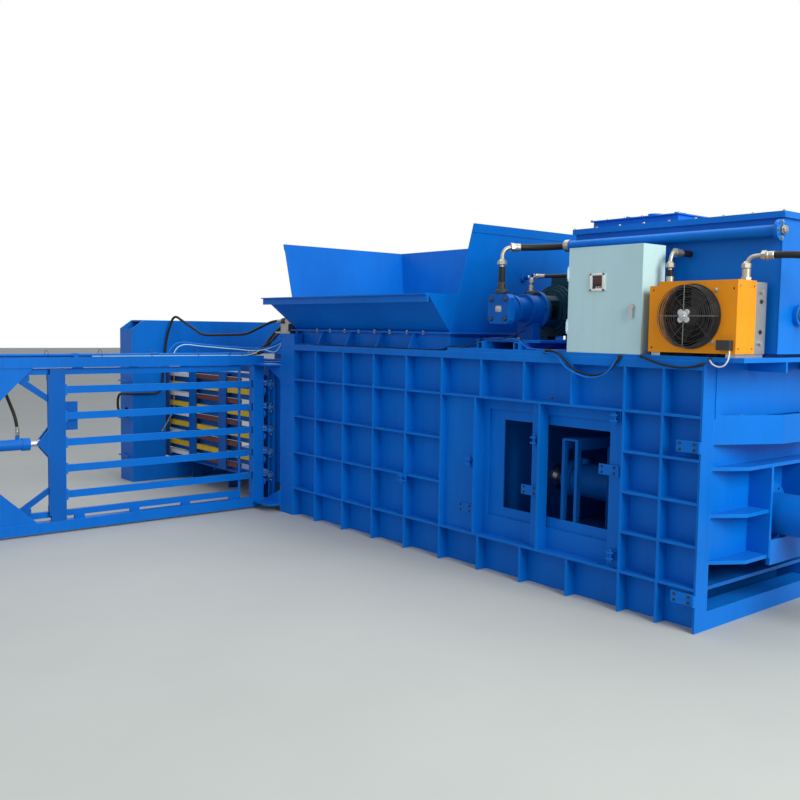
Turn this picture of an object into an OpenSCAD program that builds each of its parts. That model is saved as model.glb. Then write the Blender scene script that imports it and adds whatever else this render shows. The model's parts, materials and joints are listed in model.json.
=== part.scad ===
// Automatic horizontal recycling baler, side needle tying, power unit on top.
// Origin on the floor under the middle of the ribbed press body.
// +X runs to the cylinder end, -X to the discharge end, -Y is the needle side.

/* [Press body] */
// Length of the ribbed body between its end faces
body_l = 4330; // [4250:10:4500]
// Width of the body over its side ribs
body_w = 1500; // [1440:10:1560]
// Height of the top of the side walls
wall_h = 1545; // [1500:5:1600]
// Depth of the side ribs
rib_d = 90; // [70:5:110]
// Thickness of the rib plates
rib_t = 14; // [10:1:18]
// Thickness of the side wall plates
wall_t = 20; // [12:1:30]
// Height of the chamber floor above the ground
floor_z = 250; // [230:5:260]
// Thickness of floor and roof plates
plate_t = 20; // [12:1:25]
// Inside height of the press chamber
chamber_h = 990; // [960:5:1000]
// Width of the flat post at the discharge end of a side wall
front_post_w = 213; // [180:1:240]
// Distance from the discharge end to the first rib
first_rib = 540; // [500:5:580]
// Distance between side ribs
rib_pitch = 406; // [396:1:410]
// Distance between the two ribs next to the rear post
rear_pitch = 270; // [240:5:290]
// Width of the rear corner post, seen from behind
rear_post_w = 120; // [90:5:140]

/* [Access windows] */
// Height of the lower edge of the window openings
window_z = 460; // [420:5:520]
// Height of the window openings
window_h = 620; // [560:5:660]
// Width of the window behind the ram
small_window_w = 318; // [280:2:330]
// Width of the window beside the cylinder
large_window_w = 598; // [520:2:605]
// Width of the bay of the large window
large_bay_w = 668; // [640:2:680]
// Depth of the recessed door panels behind the rib edges
panel_recess = 45; // [30:5:60]
// Width of the closed panel beside the first door post
closed_panel_w = 355; // [320:5:380]
// Width of the flat plates of the door posts
door_post_w = 85; // [70:5:95]

/* [Hopper] */
// Length of the filling opening along the press
throat_l = 2050; // [1950:10:2100]
// Length of the feed opening in the roof of the chamber, ahead of the chute
feed_l = 1700; // [1650:10:1720]
// Height of the flange that the hopper stands on
throat_h = 1680; // [1650:5:1720]
// Height of the top of the tall hopper walls
hopper_h = 2460; // [2350:10:2550]
// Outward lean of the end walls, bottom to top
hopper_flare = 230; // [180:5:260]
// Outward lean of the far wall, bottom to top
far_flare = 140; // [100:5:180]
// Height of the lip of the low filling side
lip_h = 1955; // [1900:5:2000]
// How far the low filling side leans out at its lip
lip_out = 300; // [240:5:340]
// Thickness of the hopper plate
hopper_t = 8; // [6:1:12]
// Depth of the folded edge of the hopper
hem_h = 60; // [45:5:75]

/* [Ram and main cylinder] */
// Travel of the ram
ram_stroke = 2150; // [2140:5:2155]
// Length of the ram box
ram_l = 835; // [820:5:860]
// Running clearance of the ram at each side
ram_gap = 10; // [6:1:14]
// Thickness of the ram plates
ram_t = 20; // [14:1:25]
// Depth of the wire grooves in the ram face
groove_d = 50; // [35:5:60]
// Thickness of the shoes under the ram
shoe_t = 11; // [8:1:14]
// Height of the cylinder axis
cyl_z = 620; // [580:5:660]
// Outside diameter of the main barrel
barrel_d = 250; // [240:2:270]
// Bore of the main barrel
bore_d = 200; // [180:2:210]
// Diameter of the main rod
rod_d = 140; // [110:2:150]
// Length of the main piston
piston_l = 120; // [90:5:140]
// Length of the gland and of the cap of the barrel
gland_l = 80; // [60:5:90]
// Distance from the ram box to the gland at rest
gland_gap = 140; // [120:5:160]

/* [Rear head] */
// Thickness of the head plate that the cylinder bolts to
head_t = 40; // [30:5:50]
// How far the stiffening shelves stand out
shelf_out = 120; // [90:5:150]
// Half distance between the two upright head gussets
gusset_y = 195; // [180:5:220]
// Diameter of the cylinder mounting flange
flange_d = 360; // [350:2:364]
// Bolt circle of the cylinder mounting flange
flange_pcd = 308; // [304:1:312]
// Number of flange bolts
flange_bolts = 12; // [8:2:16]

/* [Needles] */
// Height of the lowest needle
needle_z = 310; // [305:1:320]
// Distance between needles
needle_pitch = 214; // [208:1:216]
// Number of needles and wires
needle_n = 5; // [4:1:5]
// Height of a needle bar
needle_h = 60; // [50:2:64]
// Thickness of a needle bar
needle_t = 20; // [16:1:24]
// Length of a needle bar from the carriage to its tip
needle_l = 1717; // [1700:1:1730]
// Travel of the needle carriage
needle_stroke = 1620; // [1600:5:1620]
// Distance from the body to the near face of the needle frame
needle_off = 270; // [265:5:290]
// Width and height of the beams of the needle frame
beam_w = 84; // [80:2:90]
// Height of the top of the needle frame
needle_top = 1430; // [1420:5:1450]
// Length of the needle frame, out from the side of the body
needle_frame_l = 2850; // [2830:10:2950]
// Outside diameter of the needle cylinder
needle_cyl_d = 88; // [80:2:96]
// Diameter of the needle cylinder rod
needle_rod_d = 45; // [36:1:50]
// Diameter of the wire guide wheels
wheel_d = 60; // [50:2:64]

/* [Bale channel] */
// Length of the channel from the body to the squeeze portal
channel_l = 2270; // [2200:10:2350]
// Depth of the squeeze portal along the channel
portal_d = 320; // [290:5:340]
// Height of the squeeze portal
portal_h = 1750; // [1700:10:1800]
// Width of each portal leg
leg_w = 380; // [370:5:400]
// Clear width between the channel side and the portal leg
leg_gap = 160; // [150:5:165]
// Cut corner of the portal, sideways
bevel_w = 130; // [100:5:150]
// Cut corner of the portal, downwards
bevel_h = 92; // [70:2:110]
// Height of a wire slot in the channel sides
slot_h = 50; // [44:2:54]
// Thickness of the plates of the channel sides
side_t = 14; // [10:1:16]
// Size of the yellow stiffening bars
bar_w = 50; // [40:2:56]
// Turn of each channel side at full squeeze, degrees
squeeze_deg = 1.7; // [1.5:0.1:1.8]

/* [Power unit] */
// Length of the oil tank
tank_l = 1450; // [1400:10:1460]
// Depth of the oil tank
tank_w = 800; // [700:10:850]
// Height of the oil tank
tank_h = 790; // [740:10:830]
// Distance from the near edge of the deck to the tank
tank_back = 350; // [345:5:360]
// How far the tank and deck reach past the rear of the body
deck_over = 235; // [220:5:260]
// Distance from the rear of the body to the pump axis
pump_back = 1600; // [1590:5:1620]
// Height of the pump axis above the deck
pump_up = 275; // [270:5:290]
// Diameter of the electric motor
motor_d = 370; // [340:5:380]
// Length of the electric motor
motor_l = 620; // [560:10:640]
// Width of the control cabinet
cabinet_w = 555; // [500:5:560]
// Height of the control cabinet
cabinet_h = 650; // [600:5:660]
// Depth of the control cabinet
cabinet_d = 220; // [180:5:225]
// Width of the oil cooler
cooler_w = 556; // [520:4:560]
// Height of the oil cooler
cooler_h = 402; // [390:2:410]
// Depth of the cooler hood
hood_d = 190; // [160:5:195]
// Diameter of the fan ring
fan_d = 344; // [320:2:350]

/* [Hidden] */
$fn = 48;

// Number of rib bays between the posts
bay_n = 8;
// Running clearance between plain moving parts
fit = 0.3;
// Clearance of a pin in its hole, each side
pin_fit = 0.3;

// Body planes
x_front = -body_l / 2;
x_rear = body_l / 2;
y_side = body_w / 2;
y_wall = y_side - rib_d;
y_in = y_wall - wall_t;
roof_z = floor_z + chamber_h;
post_h = wall_h + 95;
flange_lip = 50;
low_rib_z = floor_z + 6;
high_rib_z = roof_z - 2;
rib_x = [for (k = [0 : bay_n]) x_front + first_rib + k * rib_pitch];
rear_rib_x = x_rear - rear_pitch;
left_steps = 3;
right_steps = 4;
function left_z(k) = low_rib_z + k * (high_rib_z - low_rib_z) / left_steps;
function right_z(k) = low_rib_z + k * (high_rib_z - low_rib_z) / right_steps;

// Door bays: between the middle rib and the last full rib
door_x0 = rib_x[4];
door_x3 = rib_x[8];
door_x1 = door_x0 + closed_panel_w;
door_x2 = door_x3 - large_bay_w;
large_x0 = door_x3 - door_post_w - 35 - large_window_w;
small_x1 = door_x2 - door_post_w;
small_x0 = small_x1 - small_window_w;
door_y = -y_side + panel_recess;
window_plate_t = 10;
window_rim = 70;

// Throat, hopper and deck
throat_x0 = x_front + 90;
throat_x1 = throat_x0 + throat_l;
collar_t = 12;
collar_z0 = roof_z + 70;
deck_t = 25;
deck_z = wall_h + deck_t;
deck_x0 = throat_x1 + 90;
deck_x1 = x_rear + deck_over;

// Ram
ram_y = y_in - window_plate_t - ram_gap;
ram_top = roof_z - 4;
feed_x1 = throat_x0 + feed_l;
ram_x0 = feed_x1 + 40;
ram_x1 = ram_x0 + ram_l;
trail_l = ram_stroke + 40;
ram_under = floor_z + 1;
ram_floor = ram_under + shoe_t;
rod_hole = rod_d + 30;

// Main cylinder
gland_x = ram_x1 + gland_gap;
barrel_in0 = gland_x + gland_l;
barrel_in1 = barrel_in0 + ram_stroke + piston_l + 40;
barrel_end = barrel_in1 + gland_l;
piston_x = barrel_in1 - 20 - piston_l;
bulkhead_x = door_x2 + 110;
bulkhead_l = 128;

// Needles
needle_x = x_front - needle_off - 25;
frame_x1 = x_front - needle_off;
frame_x0 = frame_x1 - beam_w + 4;
end_post_y1 = -y_side - 18;
end_post_w = 110;
end_post_y0 = end_post_y1 - end_post_w;
outer_post_y = -y_side - needle_frame_l;
outer_post_w = 100;
beam_z0 = 16;
tip_y = end_post_y0 - 30;
carriage_y1 = tip_y - needle_l;
carriage_w = 120;
carriage_y0 = carriage_y1 - carriage_w;
beam_top_z = needle_top - beam_w;
beam_low_z = beam_z0 + beam_w;
rail_h = 50;
rail_t = 34;
rail_top_z0 = beam_top_z - 8 - rail_h;
rail_low_z0 = beam_low_z + 26;
rail_y1 = end_post_y0 - 115;
needle_cyl_z = 740;
needle_cyl_x = frame_x0 + 42;
gland_y = carriage_y0 - 160;
needle_barrel_l = needle_stroke + 240;
function level(i) = needle_z + i * needle_pitch;

// Bale channel
channel_x0 = x_front - channel_l;
portal_x0 = channel_x0 - portal_d;
portal_x = channel_x0 - portal_d / 2;
side_x0 = portal_x0 - 30;
side_x1 = x_front - 60;
hinge_x = x_front - 40;
hinge_pin_d = 40;
knuckle_d = 70;
hinge_y = y_in + 50;
side_z0 = floor_z + 2;
side_z1 = roof_z - 2;
leg_y0 = y_in + leg_gap;
leg_y1 = leg_y0 + leg_w;
lug_n = 4;
lug_h = 120;
function lug_z(k) = side_z0 + 20 + k * (side_z1 - side_z0 - 40 - lug_h) / (2 * lug_n - 2);
strap_t = 16;
side_y = y_in + side_t;
strap_y = side_y + bar_w;
push_r = hinge_x - portal_x;

// Power unit
pump_x = x_rear - pump_back;
pump_z = deck_z + pump_up;
base_z = deck_z + 65;
pump_y0 = -y_side + 5;
ring_y0 = pump_y0 + 245;
bell_y0 = ring_y0 + 130;
bell_l = 175;
motor_y0 = bell_y0 + bell_l;
tank_y0 = -y_side + tank_back;
tank_x1 = x_rear + deck_over - 5;
tank_x0 = tank_x1 - tank_l;
tank_z0 = deck_z + 20;
tank_top = tank_z0 + tank_h;
tank_wall = 6;
tank_rim = 20;
pipe_d = 64;
pipe_y = tank_y0 - 50;
pipe_z = tank_top - 108;
cooler_x1 = x_rear + 180;
cooler_x0 = cooler_x1 - cooler_w;
cooler_z0 = deck_z + 20;
fan_x = cooler_x0 + cooler_w / 2 + 3;
fan_z = cooler_z0 + cooler_h / 2 + 3;
cabinet_x1 = cooler_x0 - 54;
cabinet_x0 = cabinet_x1 - cabinet_w;
door_t = 17;

blue = "dodgerblue";
dark_blue = "royalblue";
steel = "silver";

// A plate in the XZ plane, y from y0 to y0 + t
module xz_plate(y0, t) {
  translate([0, y0 + t, 0]) rotate([90, 0, 0]) linear_extrude(t) children();
}

// A plate in the YZ plane, x from x0 to x0 + t
module yz_plate(x0, t) {
  translate([x0, 0, 0]) rotate([90, 0, 90]) linear_extrude(t) children();
}

// A box between two corners
module block(a, b) {
  translate(a) cube(b - a);
}

// A round bar along Y
module bar_y(x, z, y0, y1, d) {
  translate([x, y0, z]) rotate([-90, 0, 0]) cylinder(d = d, h = y1 - y0);
}

// A round bar along X
module bar_x(y, z, x0, x1, d) {
  translate([x0, y, z]) rotate([0, 90, 0]) cylinder(d = d, h = x1 - x0);
}

// Round bars on the pump axis and on the needle cylinder axis
module pump_bar(y0, y1, d) {
  bar_y(pump_x, pump_z, y0, y1, d);
}

module needle_bar(y0, y1, d) {
  bar_y(needle_cyl_x, needle_cyl_z, y0, y1, d);
}

// Flat strip in the XZ sketch plane
module strip(x0, z0, x1, z1) {
  translate([x0, z0]) square([x1 - x0, z1 - z0]);
}

// Rib lattice of a side wall, seen from outside; doors leaves the door bays open
module rib_sketch(doors) {
  strip(x_front, 0, x_front + rib_t, post_h);
  strip(x_front + front_post_w - rib_t, 0, x_front + front_post_w, post_h);
  for (k = [0 : bay_n]) {
    if (doors && k > 4 && k < bay_n) {
      strip(rib_x[k], 0, rib_x[k] + rib_t, low_rib_z);
      strip(rib_x[k], high_rib_z, rib_x[k] + rib_t, wall_h);
    } else {
      strip(rib_x[k], 0, rib_x[k] + rib_t, wall_h);
    }
  }
  strip(rear_rib_x, 0, rear_rib_x + rib_t, wall_h);
  strip(x_rear - rib_t, 0, x_rear, wall_h);
  for (z = [low_rib_z, high_rib_z, wall_h])
    strip(x_front, z - rib_t, x_rear, z);
  for (k = [1 : left_steps - 1])
    strip(x_front + front_post_w - rib_t, left_z(k) - rib_t, doors ? door_x0 : door_x3, left_z(k));
  for (k = [1 : right_steps - 1])
    strip(door_x3, right_z(k) - rib_t, x_rear, right_z(k));
  if (doors) {
    strip(door_x1, low_rib_z, door_x1 + rib_t, high_rib_z);
    strip(door_x2, low_rib_z, door_x2 + rib_t, high_rib_z);
  }
}

// Side wall on the needle side; the far one is its mirror image without doors
module side_wall(doors) {
  xz_plate(-y_side, rib_d) rib_sketch(doors);
  xz_plate(-y_wall, wall_t) difference() {
    strip(x_front, 0, x_rear, wall_h);
    if (doors)
      strip(door_x1 + window_rim, window_z - window_rim, door_x3 - 24,
        window_z + window_h + window_rim);
  }
  xz_plate(-y_side, 10) strip(x_front, wall_h - flange_lip, x_rear, wall_h);
  difference() {
    xz_plate(-y_side, rib_t) strip(x_front, 0, x_front + front_post_w, post_h);
    for (i = [0 : needle_n - 1])
      bar_y(x_front + 0.55 * front_post_w, level(i), -y_side - 1, -y_side + rib_t + 1, 14);
  }
  yz_plate(x_rear - rib_t, rib_t) strip(-y_side, 0, -y_side + rear_post_w, wall_h);
  translate([hinge_x, -hinge_y, side_z0]) cylinder(d = hinge_pin_d, h = side_z1 - side_z0);
  for (k = [0 : lug_n - 1]) translate([hinge_x, -hinge_y, lug_z(2 * k)]) {
    cylinder(d = knuckle_d, h = lug_h);
    translate([0, -knuckle_d / 2 + 5, 0]) cube([x_front - hinge_x + 2, knuckle_d - 10, lug_h]);
  }
  if (doors) {
    xz_plate(-y_in, window_plate_t) difference() {
      strip(door_x1 + rib_t, low_rib_z, door_x3, high_rib_z);
      strip(small_x0, window_z, small_x1, window_z + window_h);
      strip(large_x0, window_z, large_x0 + large_window_w, window_z + window_h);
    }
    xz_plate(door_y, 10) {
      strip(door_x0, low_rib_z, door_x1, high_rib_z);
      strip(door_x2 - door_post_w, low_rib_z, door_x2, high_rib_z);
      strip(door_x3 - door_post_w - 30, low_rib_z, door_x3, high_rib_z);
    }
  }
}

module near_wall() {
  color(blue) side_wall(true);
}

module far_wall() {
  color(blue) mirror([0, 1, 0]) side_wall(false);
}

// Floor plate on cross beams and two base rails with anchor holes
rail_w = 140;
anchor_d = 26;
anchor_x = body_l / 2 - 300;
anchor_y = 500;
module chamber_floor() {
  color(dark_blue) {
    block([x_front, -y_in, floor_z - plate_t], [x_rear - rib_t, y_in, floor_z]);
    for (x = concat([x_front, rear_rib_x], [for (k = [0 : 2 : bay_n]) rib_x[k]]))
      block([x, -y_in, plate_t], [x + rib_t, y_in, floor_z - plate_t]);
    block([rib_x[4] - 60, -anchor_y, 0], [rib_x[4] + 80, anchor_y, plate_t]);
    for (s = [-1, 1]) difference() {
      block([x_front, s * anchor_y - rail_w / 2, 0],
        [x_rear - rib_t, s * anchor_y + rail_w / 2, plate_t]);
      for (x = [-anchor_x, anchor_x])
        translate([x, s * anchor_y, -1]) cylinder(d = anchor_d, h = plate_t + 2);
    }
  }
}

// Roof plate over the ram room, its webs under the deck, and the beam over the channel mouth
module chamber_roof() {
  color(dark_blue) {
    block([feed_x1, -y_in, roof_z], [x_rear - rib_t, y_in, roof_z + plate_t]);
    for (x = [deck_x0, rib_x[5], rib_x[7], rear_rib_x])
      block([x, -y_in, roof_z + plate_t], [x + rib_t, y_in, wall_h]);
    block([x_front, -y_in, roof_z], [x_front + rib_t, y_in, post_h]);
    block([x_front + rib_t - 2, -y_in, collar_z0], [throat_x0, y_in, collar_z0 + rib_t]);
    block([throat_x0 - 40, -y_in, roof_z], [throat_x0, y_in, collar_z0]);
  }
}

// Deck of the power unit with the two square tubes under the pump base
tube_w = 50;
tube_wall = 5;
tube_dx = 173;
module power_deck() {
  color(blue) {
    block([deck_x0, -y_side, wall_h], [deck_x1, y_side, deck_z]);
    for (s = [-1, 1]) translate([pump_x + s * tube_dx, 0, deck_z + tube_w / 2]) difference() {
      block([-tube_w / 2, -y_side + 5, -tube_w / 2], [tube_w / 2, y_side - 250, tube_w / 2]);
      block([-tube_w / 2 + tube_wall, -y_side, -tube_w / 2 + tube_wall],
        [tube_w / 2 - tube_wall, y_side, tube_w / 2 - tube_wall]);
    }
    block([pump_x - 300, -y_side + 95, deck_z + tube_w], [pump_x + 300, y_side - 250, base_z]);
    for (y = [-300, 300])
      block([x_rear + 8, y, wall_h - 60], [deck_x1, y + rib_t, wall_h]);
  }
}

// Rear head: cylinder plate, stiffening shelves, beams and upright gussets
module shelf_sketch(out, run) {
  y = y_side - rear_post_w;
  polygon([[x_rear - rib_t - 2, -y], [x_rear, -y], [x_rear + out, -y + run],
    [x_rear + out, y - run], [x_rear, y], [x_rear - rib_t - 2, y]]);
}

module head_gap(z0, z1) {
  block([x_rear - rib_t - 3, -gusset_y, z0 - 1], [x_rear + 2 * shelf_out + 100, gusset_y, z1 + 1]);
}

beam_out = 200;
function shelf_z(k) = right_z(2.8 - 1.1 * k);
module rear_head() {
  color(blue) {
    difference() {
      block([x_rear - rib_t - head_t, -y_in, shelf_z(2) - plate_t], [x_rear - rib_t, y_in, roof_z]);
      bar_x(0, cyl_z, x_rear - rib_t - head_t - 1, x_rear, barrel_d + 2);
      for (k = [0 : flange_bolts - 1])
        rotate_about(k * 360 / flange_bolts, flange_pcd / 2)
          rotate([0, 90, 0]) cylinder(d = 22, h = 3 * head_t, center = true);
    }
    block([x_rear - rib_t, -y_side + rear_post_w, high_rib_z - plate_t],
      [x_rear + 6, y_side - rear_post_w, wall_h]);
    translate([0, 0, high_rib_z - 165]) linear_extrude(165) difference() {
      shelf_sketch(beam_out, 400);
      translate([-2 * rib_t, 0]) shelf_sketch(beam_out, 400);
    }
    for (k = [0 : 2]) difference() {
      translate([0, 0, shelf_z(k) - plate_t]) linear_extrude(plate_t) shelf_sketch(shelf_out, 190);
      if (k > 0) head_gap(0, roof_z);
    }
    for (s = [-1, 1])
      block([x_rear - rib_t - 2, s * gusset_y - plate_t / 2, shelf_z(2) - plate_t],
        [x_rear + shelf_out + 10, s * gusset_y + plate_t / 2, shelf_z(0) - plate_t]);
    block([x_rear + shelf_out - 10, -gusset_y, right_z(0.35)],
      [x_rear + shelf_out + 14, gusset_y, right_z(0.95)]);
    block([x_rear - rib_t, -y_side + rear_post_w, 0], [x_rear, y_side - rear_post_w, 110]);
    block([x_rear - rib_t - 130, -y_side + rear_post_w, 96],
      [x_rear - rib_t + 2, y_side - rear_post_w, 110]);
  }
}

module rotate_about(a, r) {
  translate([x_rear - rib_t, 0, cyl_z]) rotate([a, 0, 0]) translate([0, r, 0]) children();
}

// A flat piece with a straight outline anywhere in space, made thick along v
module slab(pts, v) {
  up = cross(pts[1] - pts[0], pts[2] - pts[0]) * v > 0;
  n = len(pts);
  q = up ? pts : [for (i = [n - 1 : -1 : 0]) pts[i]];
  polyhedron(points = concat(q, [for (p = q) p + v]),
    faces = concat([[for (i = [0 : n - 1]) i]], [[for (i = [n - 1 : -1 : 0]) n + i]],
      [for (i = [0 : n - 1]) [i, n + i, n + (i + 1) % n, (i + 1) % n]]));
}

// Hopper outline [x0, x1, y1] at a height, and the solid between two heights
function hop(z) = let (f = (z - throat_h) / (hopper_h - throat_h))
  [throat_x0 - f * hopper_flare, throat_x1 + f * hopper_flare, y_in + f * far_flare];
module hopper_solid(z0, z1, grow, y0) {
  a = hop(z0);
  b = hop(z1);
  polyhedron(points = [
    [a[0] - grow, y0, z0], [a[1] + grow, y0, z0],
    [a[1] + grow, a[2] + grow, z0], [a[0] - grow, a[2] + grow, z0],
    [b[0] - grow, y0, z1], [b[1] + grow, y0, z1],
    [b[1] + grow, b[2] + grow, z1], [b[0] - grow, b[2] + grow, z1]],
    faces = [[0, 1, 2, 3], [7, 6, 5, 4], [0, 4, 5, 1], [1, 5, 6, 2], [2, 6, 7, 3], [3, 7, 4, 0]]);
}

module hopper() {
  lip = hop(lip_h);
  low = hop(throat_h);
  color(blue) {
    difference() {
      block([throat_x0, -y_in, collar_z0], [throat_x1, y_in, throat_h]);
      block([throat_x0 + collar_t, -y_in + collar_t, 0],
        [throat_x1 - collar_t, y_in - collar_t, hopper_h]);
    }
    difference() {
      block([throat_x0 - 45, -y_in - 40, throat_h - collar_t], [throat_x1 + 45, y_in + 40, throat_h]);
      block([throat_x0 + 1, -y_in + 1, 0], [throat_x1 - 1, y_in - 1, hopper_h]);
    }
    for (s = [-1, 1], k = [-1 : 3])
      translate([rib_x[0] + k * rib_pitch, 0, 0]) rotate([90, 0, 90]) linear_extrude(rib_t)
        polygon([[s * y_in, wall_h], [s * (y_side - rib_t - 2), wall_h],
          [s * (y_in + 32), throat_h - collar_t], [s * y_in, throat_h - collar_t]]);
    slab([[feed_x1, -y_in + collar_t, roof_z + plate_t],
      [throat_x1 - collar_t, -y_in + collar_t, throat_h - 30],
      [throat_x1 - collar_t, y_in - collar_t, throat_h - 30],
      [feed_x1, y_in - collar_t, roof_z + plate_t]],
      [0, 0, 1.5 * hopper_t]);
    difference() {
      hopper_solid(throat_h, hopper_h, 0, -y_in);
      hopper_solid(throat_h - 1, hopper_h + 1, -hopper_t, -y_in - 1);
    }
    difference() {
      hopper_solid(hopper_h - hem_h, hopper_h, hopper_t, -y_in);
      hopper_solid(hopper_h - hem_h - 1, hopper_h + 1, -1, -y_in - 1);
    }
    slab([[low[0] + 2, -y_in, throat_h], [low[1] - 2, -y_in, throat_h],
      [lip[1] - 2, -y_in - lip_out, lip_h], [lip[0] + 2, -y_in - lip_out, lip_h]],
      [0, 1.4 * hopper_t, 0]);
    for (s = [0, 1])
      let (i = 4 - 8 * s, y = -y_in + 10)
        slab([[low[s] + i, -y_in, throat_h], [lip[s] + i, -y_in - lip_out, lip_h],
          [lip[s] + i, y, lip_h], [low[s] + i, y, throat_h]], [2 * i, 0, 0]);
    block([lip[0] - 4, -y_in - lip_out - hopper_t, lip_h - hem_h],
      [lip[1] + 4, -y_in - lip_out + 2, lip_h]);
    block([lip[0] - 4, -y_in - lip_out - 30, lip_h - hopper_t], [lip[1] + 4, -y_in - lip_out + 2, lip_h]);
  }
}

// Shear knives: one across the mouth of the chamber, a lower one on the ram above the top needle
knife_h = 62;
knife_t = 25;
ram_knife_h = ram_top - level(needle_n - 1) - needle_h / 2 - 6;
module knife(x, z, h, holes) {
  difference() {
    block([x, -ram_y, z], [x + knife_t, ram_y, z + h]);
    for (k = [0 : holes - 1])
      translate([x - 1, -ram_y + (k + 0.5) * 2 * ram_y / holes, z + h / 2]) rotate([0, 90, 0])
        cylinder(d = min(22, 0.6 * h), h = knife_t + 2);
  }
}

module fixed_knife() {
  color("gray") knife(throat_x0, roof_z + 2, knife_h, 8);
}

module main_cylinder() {
  x_flange = x_rear - rib_t;
  color(blue) difference() {
    union() {
      bar_x(0, cyl_z, gland_x, barrel_end, barrel_d);
      bar_x(0, cyl_z, gland_x, gland_x + gland_l, barrel_d + 24);
      bar_x(0, cyl_z, barrel_end - gland_l, barrel_end, barrel_d + 24);
      bar_x(0, cyl_z, x_flange + fit, x_flange + head_t, flange_d);
      for (x = [barrel_in0 + 40, barrel_in1 - 40])
        translate([x, 0, cyl_z]) cylinder(d = 60, h = barrel_d / 2 + 34);
    }
    bar_x(0, cyl_z, barrel_in0, barrel_in1, bore_d);
    bar_x(0, cyl_z, gland_x - 1, barrel_in0 + 1, rod_d + 2 * pin_fit);
    for (x = [barrel_in0 + 40, barrel_in1 - 40])
      translate([x, 0, cyl_z]) cylinder(d = 25, h = barrel_d);
    for (k = [0 : flange_bolts - 1])
      rotate_about(k * 360 / flange_bolts, flange_pcd / 2)
        rotate([0, 90, 0]) cylinder(d = 22, h = 4 * head_t, center = true);
  }
}

// Two upright frames, joined at top and bottom, that steady the barrel behind the ram
module cylinder_bulkhead() {
  top = cyl_z + 380;
  y0 = -y_in + window_plate_t + 1;
  color(dark_blue) {
    for (x = [bulkhead_x, bulkhead_x + bulkhead_l - plate_t]) yz_plate(x, plate_t) difference() {
      strip(y0, floor_z, y_in - 1, top);
      translate([0, cyl_z]) circle(d = barrel_d + 2 * fit);
      for (s = [-1, 1]) translate([s * 370, cyl_z + 10]) square([440, 600], center = true);
    }
    for (z = [floor_z, top - 12]) block([bulkhead_x, y0, z], [bulkhead_x + bulkhead_l, y_in - 1, z + 12]);
  }
}

// Ram: grooved face, box, rear plate and the cover that closes the throat when it is forward
ram_face_t = 80;
ram_skin = 20;
trail_x = ram_x0 + trail_l;
ram_cut = (ram_l - ram_face_t - 180) / 2;
module ram_body() {
  color(dark_blue) {
    xz_plate(-ram_y, 2 * ram_y) difference() {
      strip(ram_x0, ram_floor, ram_x0 + ram_face_t, ram_top - ram_t);
      strip(ram_x0 - 1, ram_top - ram_knife_h - 10, ram_x0 + knife_t, ram_top);
      for (i = [0 : needle_n - 1]) {
        strip(ram_x0 - 1, level(i) - needle_h / 2 - 5, ram_x0 + groove_d,
          level(i) + needle_h / 2 + 5);
        if (i < needle_n - 1)
          strip(ram_x0 + ram_skin, level(i) + needle_h / 2 + 5 + ram_skin,
            ram_x0 + ram_face_t + 1, level(i + 1) - needle_h / 2 - 5 - ram_skin);
      }
    }
    for (s = [-1, 1]) xz_plate(s > 0 ? ram_y - ram_t : -ram_y, ram_t) difference() {
      strip(ram_x0 + ram_face_t, ram_floor, ram_x1, ram_top - ram_t);
      for (k = [0, 1]) let (x = ram_x0 + ram_face_t + 60 + k * (ram_cut + 60))
        strip(x, ram_floor + 160, x + ram_cut, ram_top - 230);
    }
    yz_plate(ram_x1 - ram_t, ram_t) difference() {
      strip(-ram_y, ram_floor, ram_y, ram_top - ram_t);
      translate([0, cyl_z]) circle(d = rod_hole);
    }
    block([ram_x0 + knife_t, -ram_y, ram_top - ram_t], [trail_x, ram_y, ram_top]);
    block([ram_x0 + ram_face_t, -ram_y, ram_floor], [ram_x1, ram_y, ram_floor + ram_t]);
    for (y = [-300, 300])
      block([ram_x1 - 1, y, ram_top - ram_t - 60], [trail_x, y + ram_t, ram_top - ram_t]);
  }
}

module ram_knife() {
  color("gray") knife(ram_x0, ram_top - ram_knife_h, ram_knife_h, 8);
}

module ram_shoes() {
  color("darkgoldenrod") for (s = [-1, 1])
    block([ram_x0 + 20, s * (ram_y - 40) - 40, floor_z + fit],
      [ram_x1 - 20, s * (ram_y - 40) + 40, ram_floor]);
}

spigot_d = 90;
module main_rod() {
  color(steel) {
    bar_x(0, cyl_z, ram_x0 + ram_face_t, piston_x, rod_d);
    bar_x(0, cyl_z, ram_x0 + ram_face_t, ram_x0 + ram_face_t + 35, rod_d + 100);
    bar_x(0, cyl_z, ram_x1 + fit, ram_x1 + 30, rod_d + 50);
    bar_x(0, cyl_z, piston_x - 1, piston_x + piston_l + 12, spigot_d);
  }
}

module main_piston() {
  color("dimgray") difference() {
    bar_x(0, cyl_z, piston_x, piston_x + piston_l, bore_d - 2 * fit);
    bar_x(0, cyl_z, piston_x - 1, piston_x + piston_l + 1, spigot_d);
    for (x = [0.3, 0.6]) translate([piston_x + x * piston_l, 0, cyl_z]) rotate([0, 90, 0]) difference() {
      cylinder(d = bore_d + 2, h = 8);
      cylinder(d = bore_d - 10, h = 8);
    }
  }
}

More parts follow.
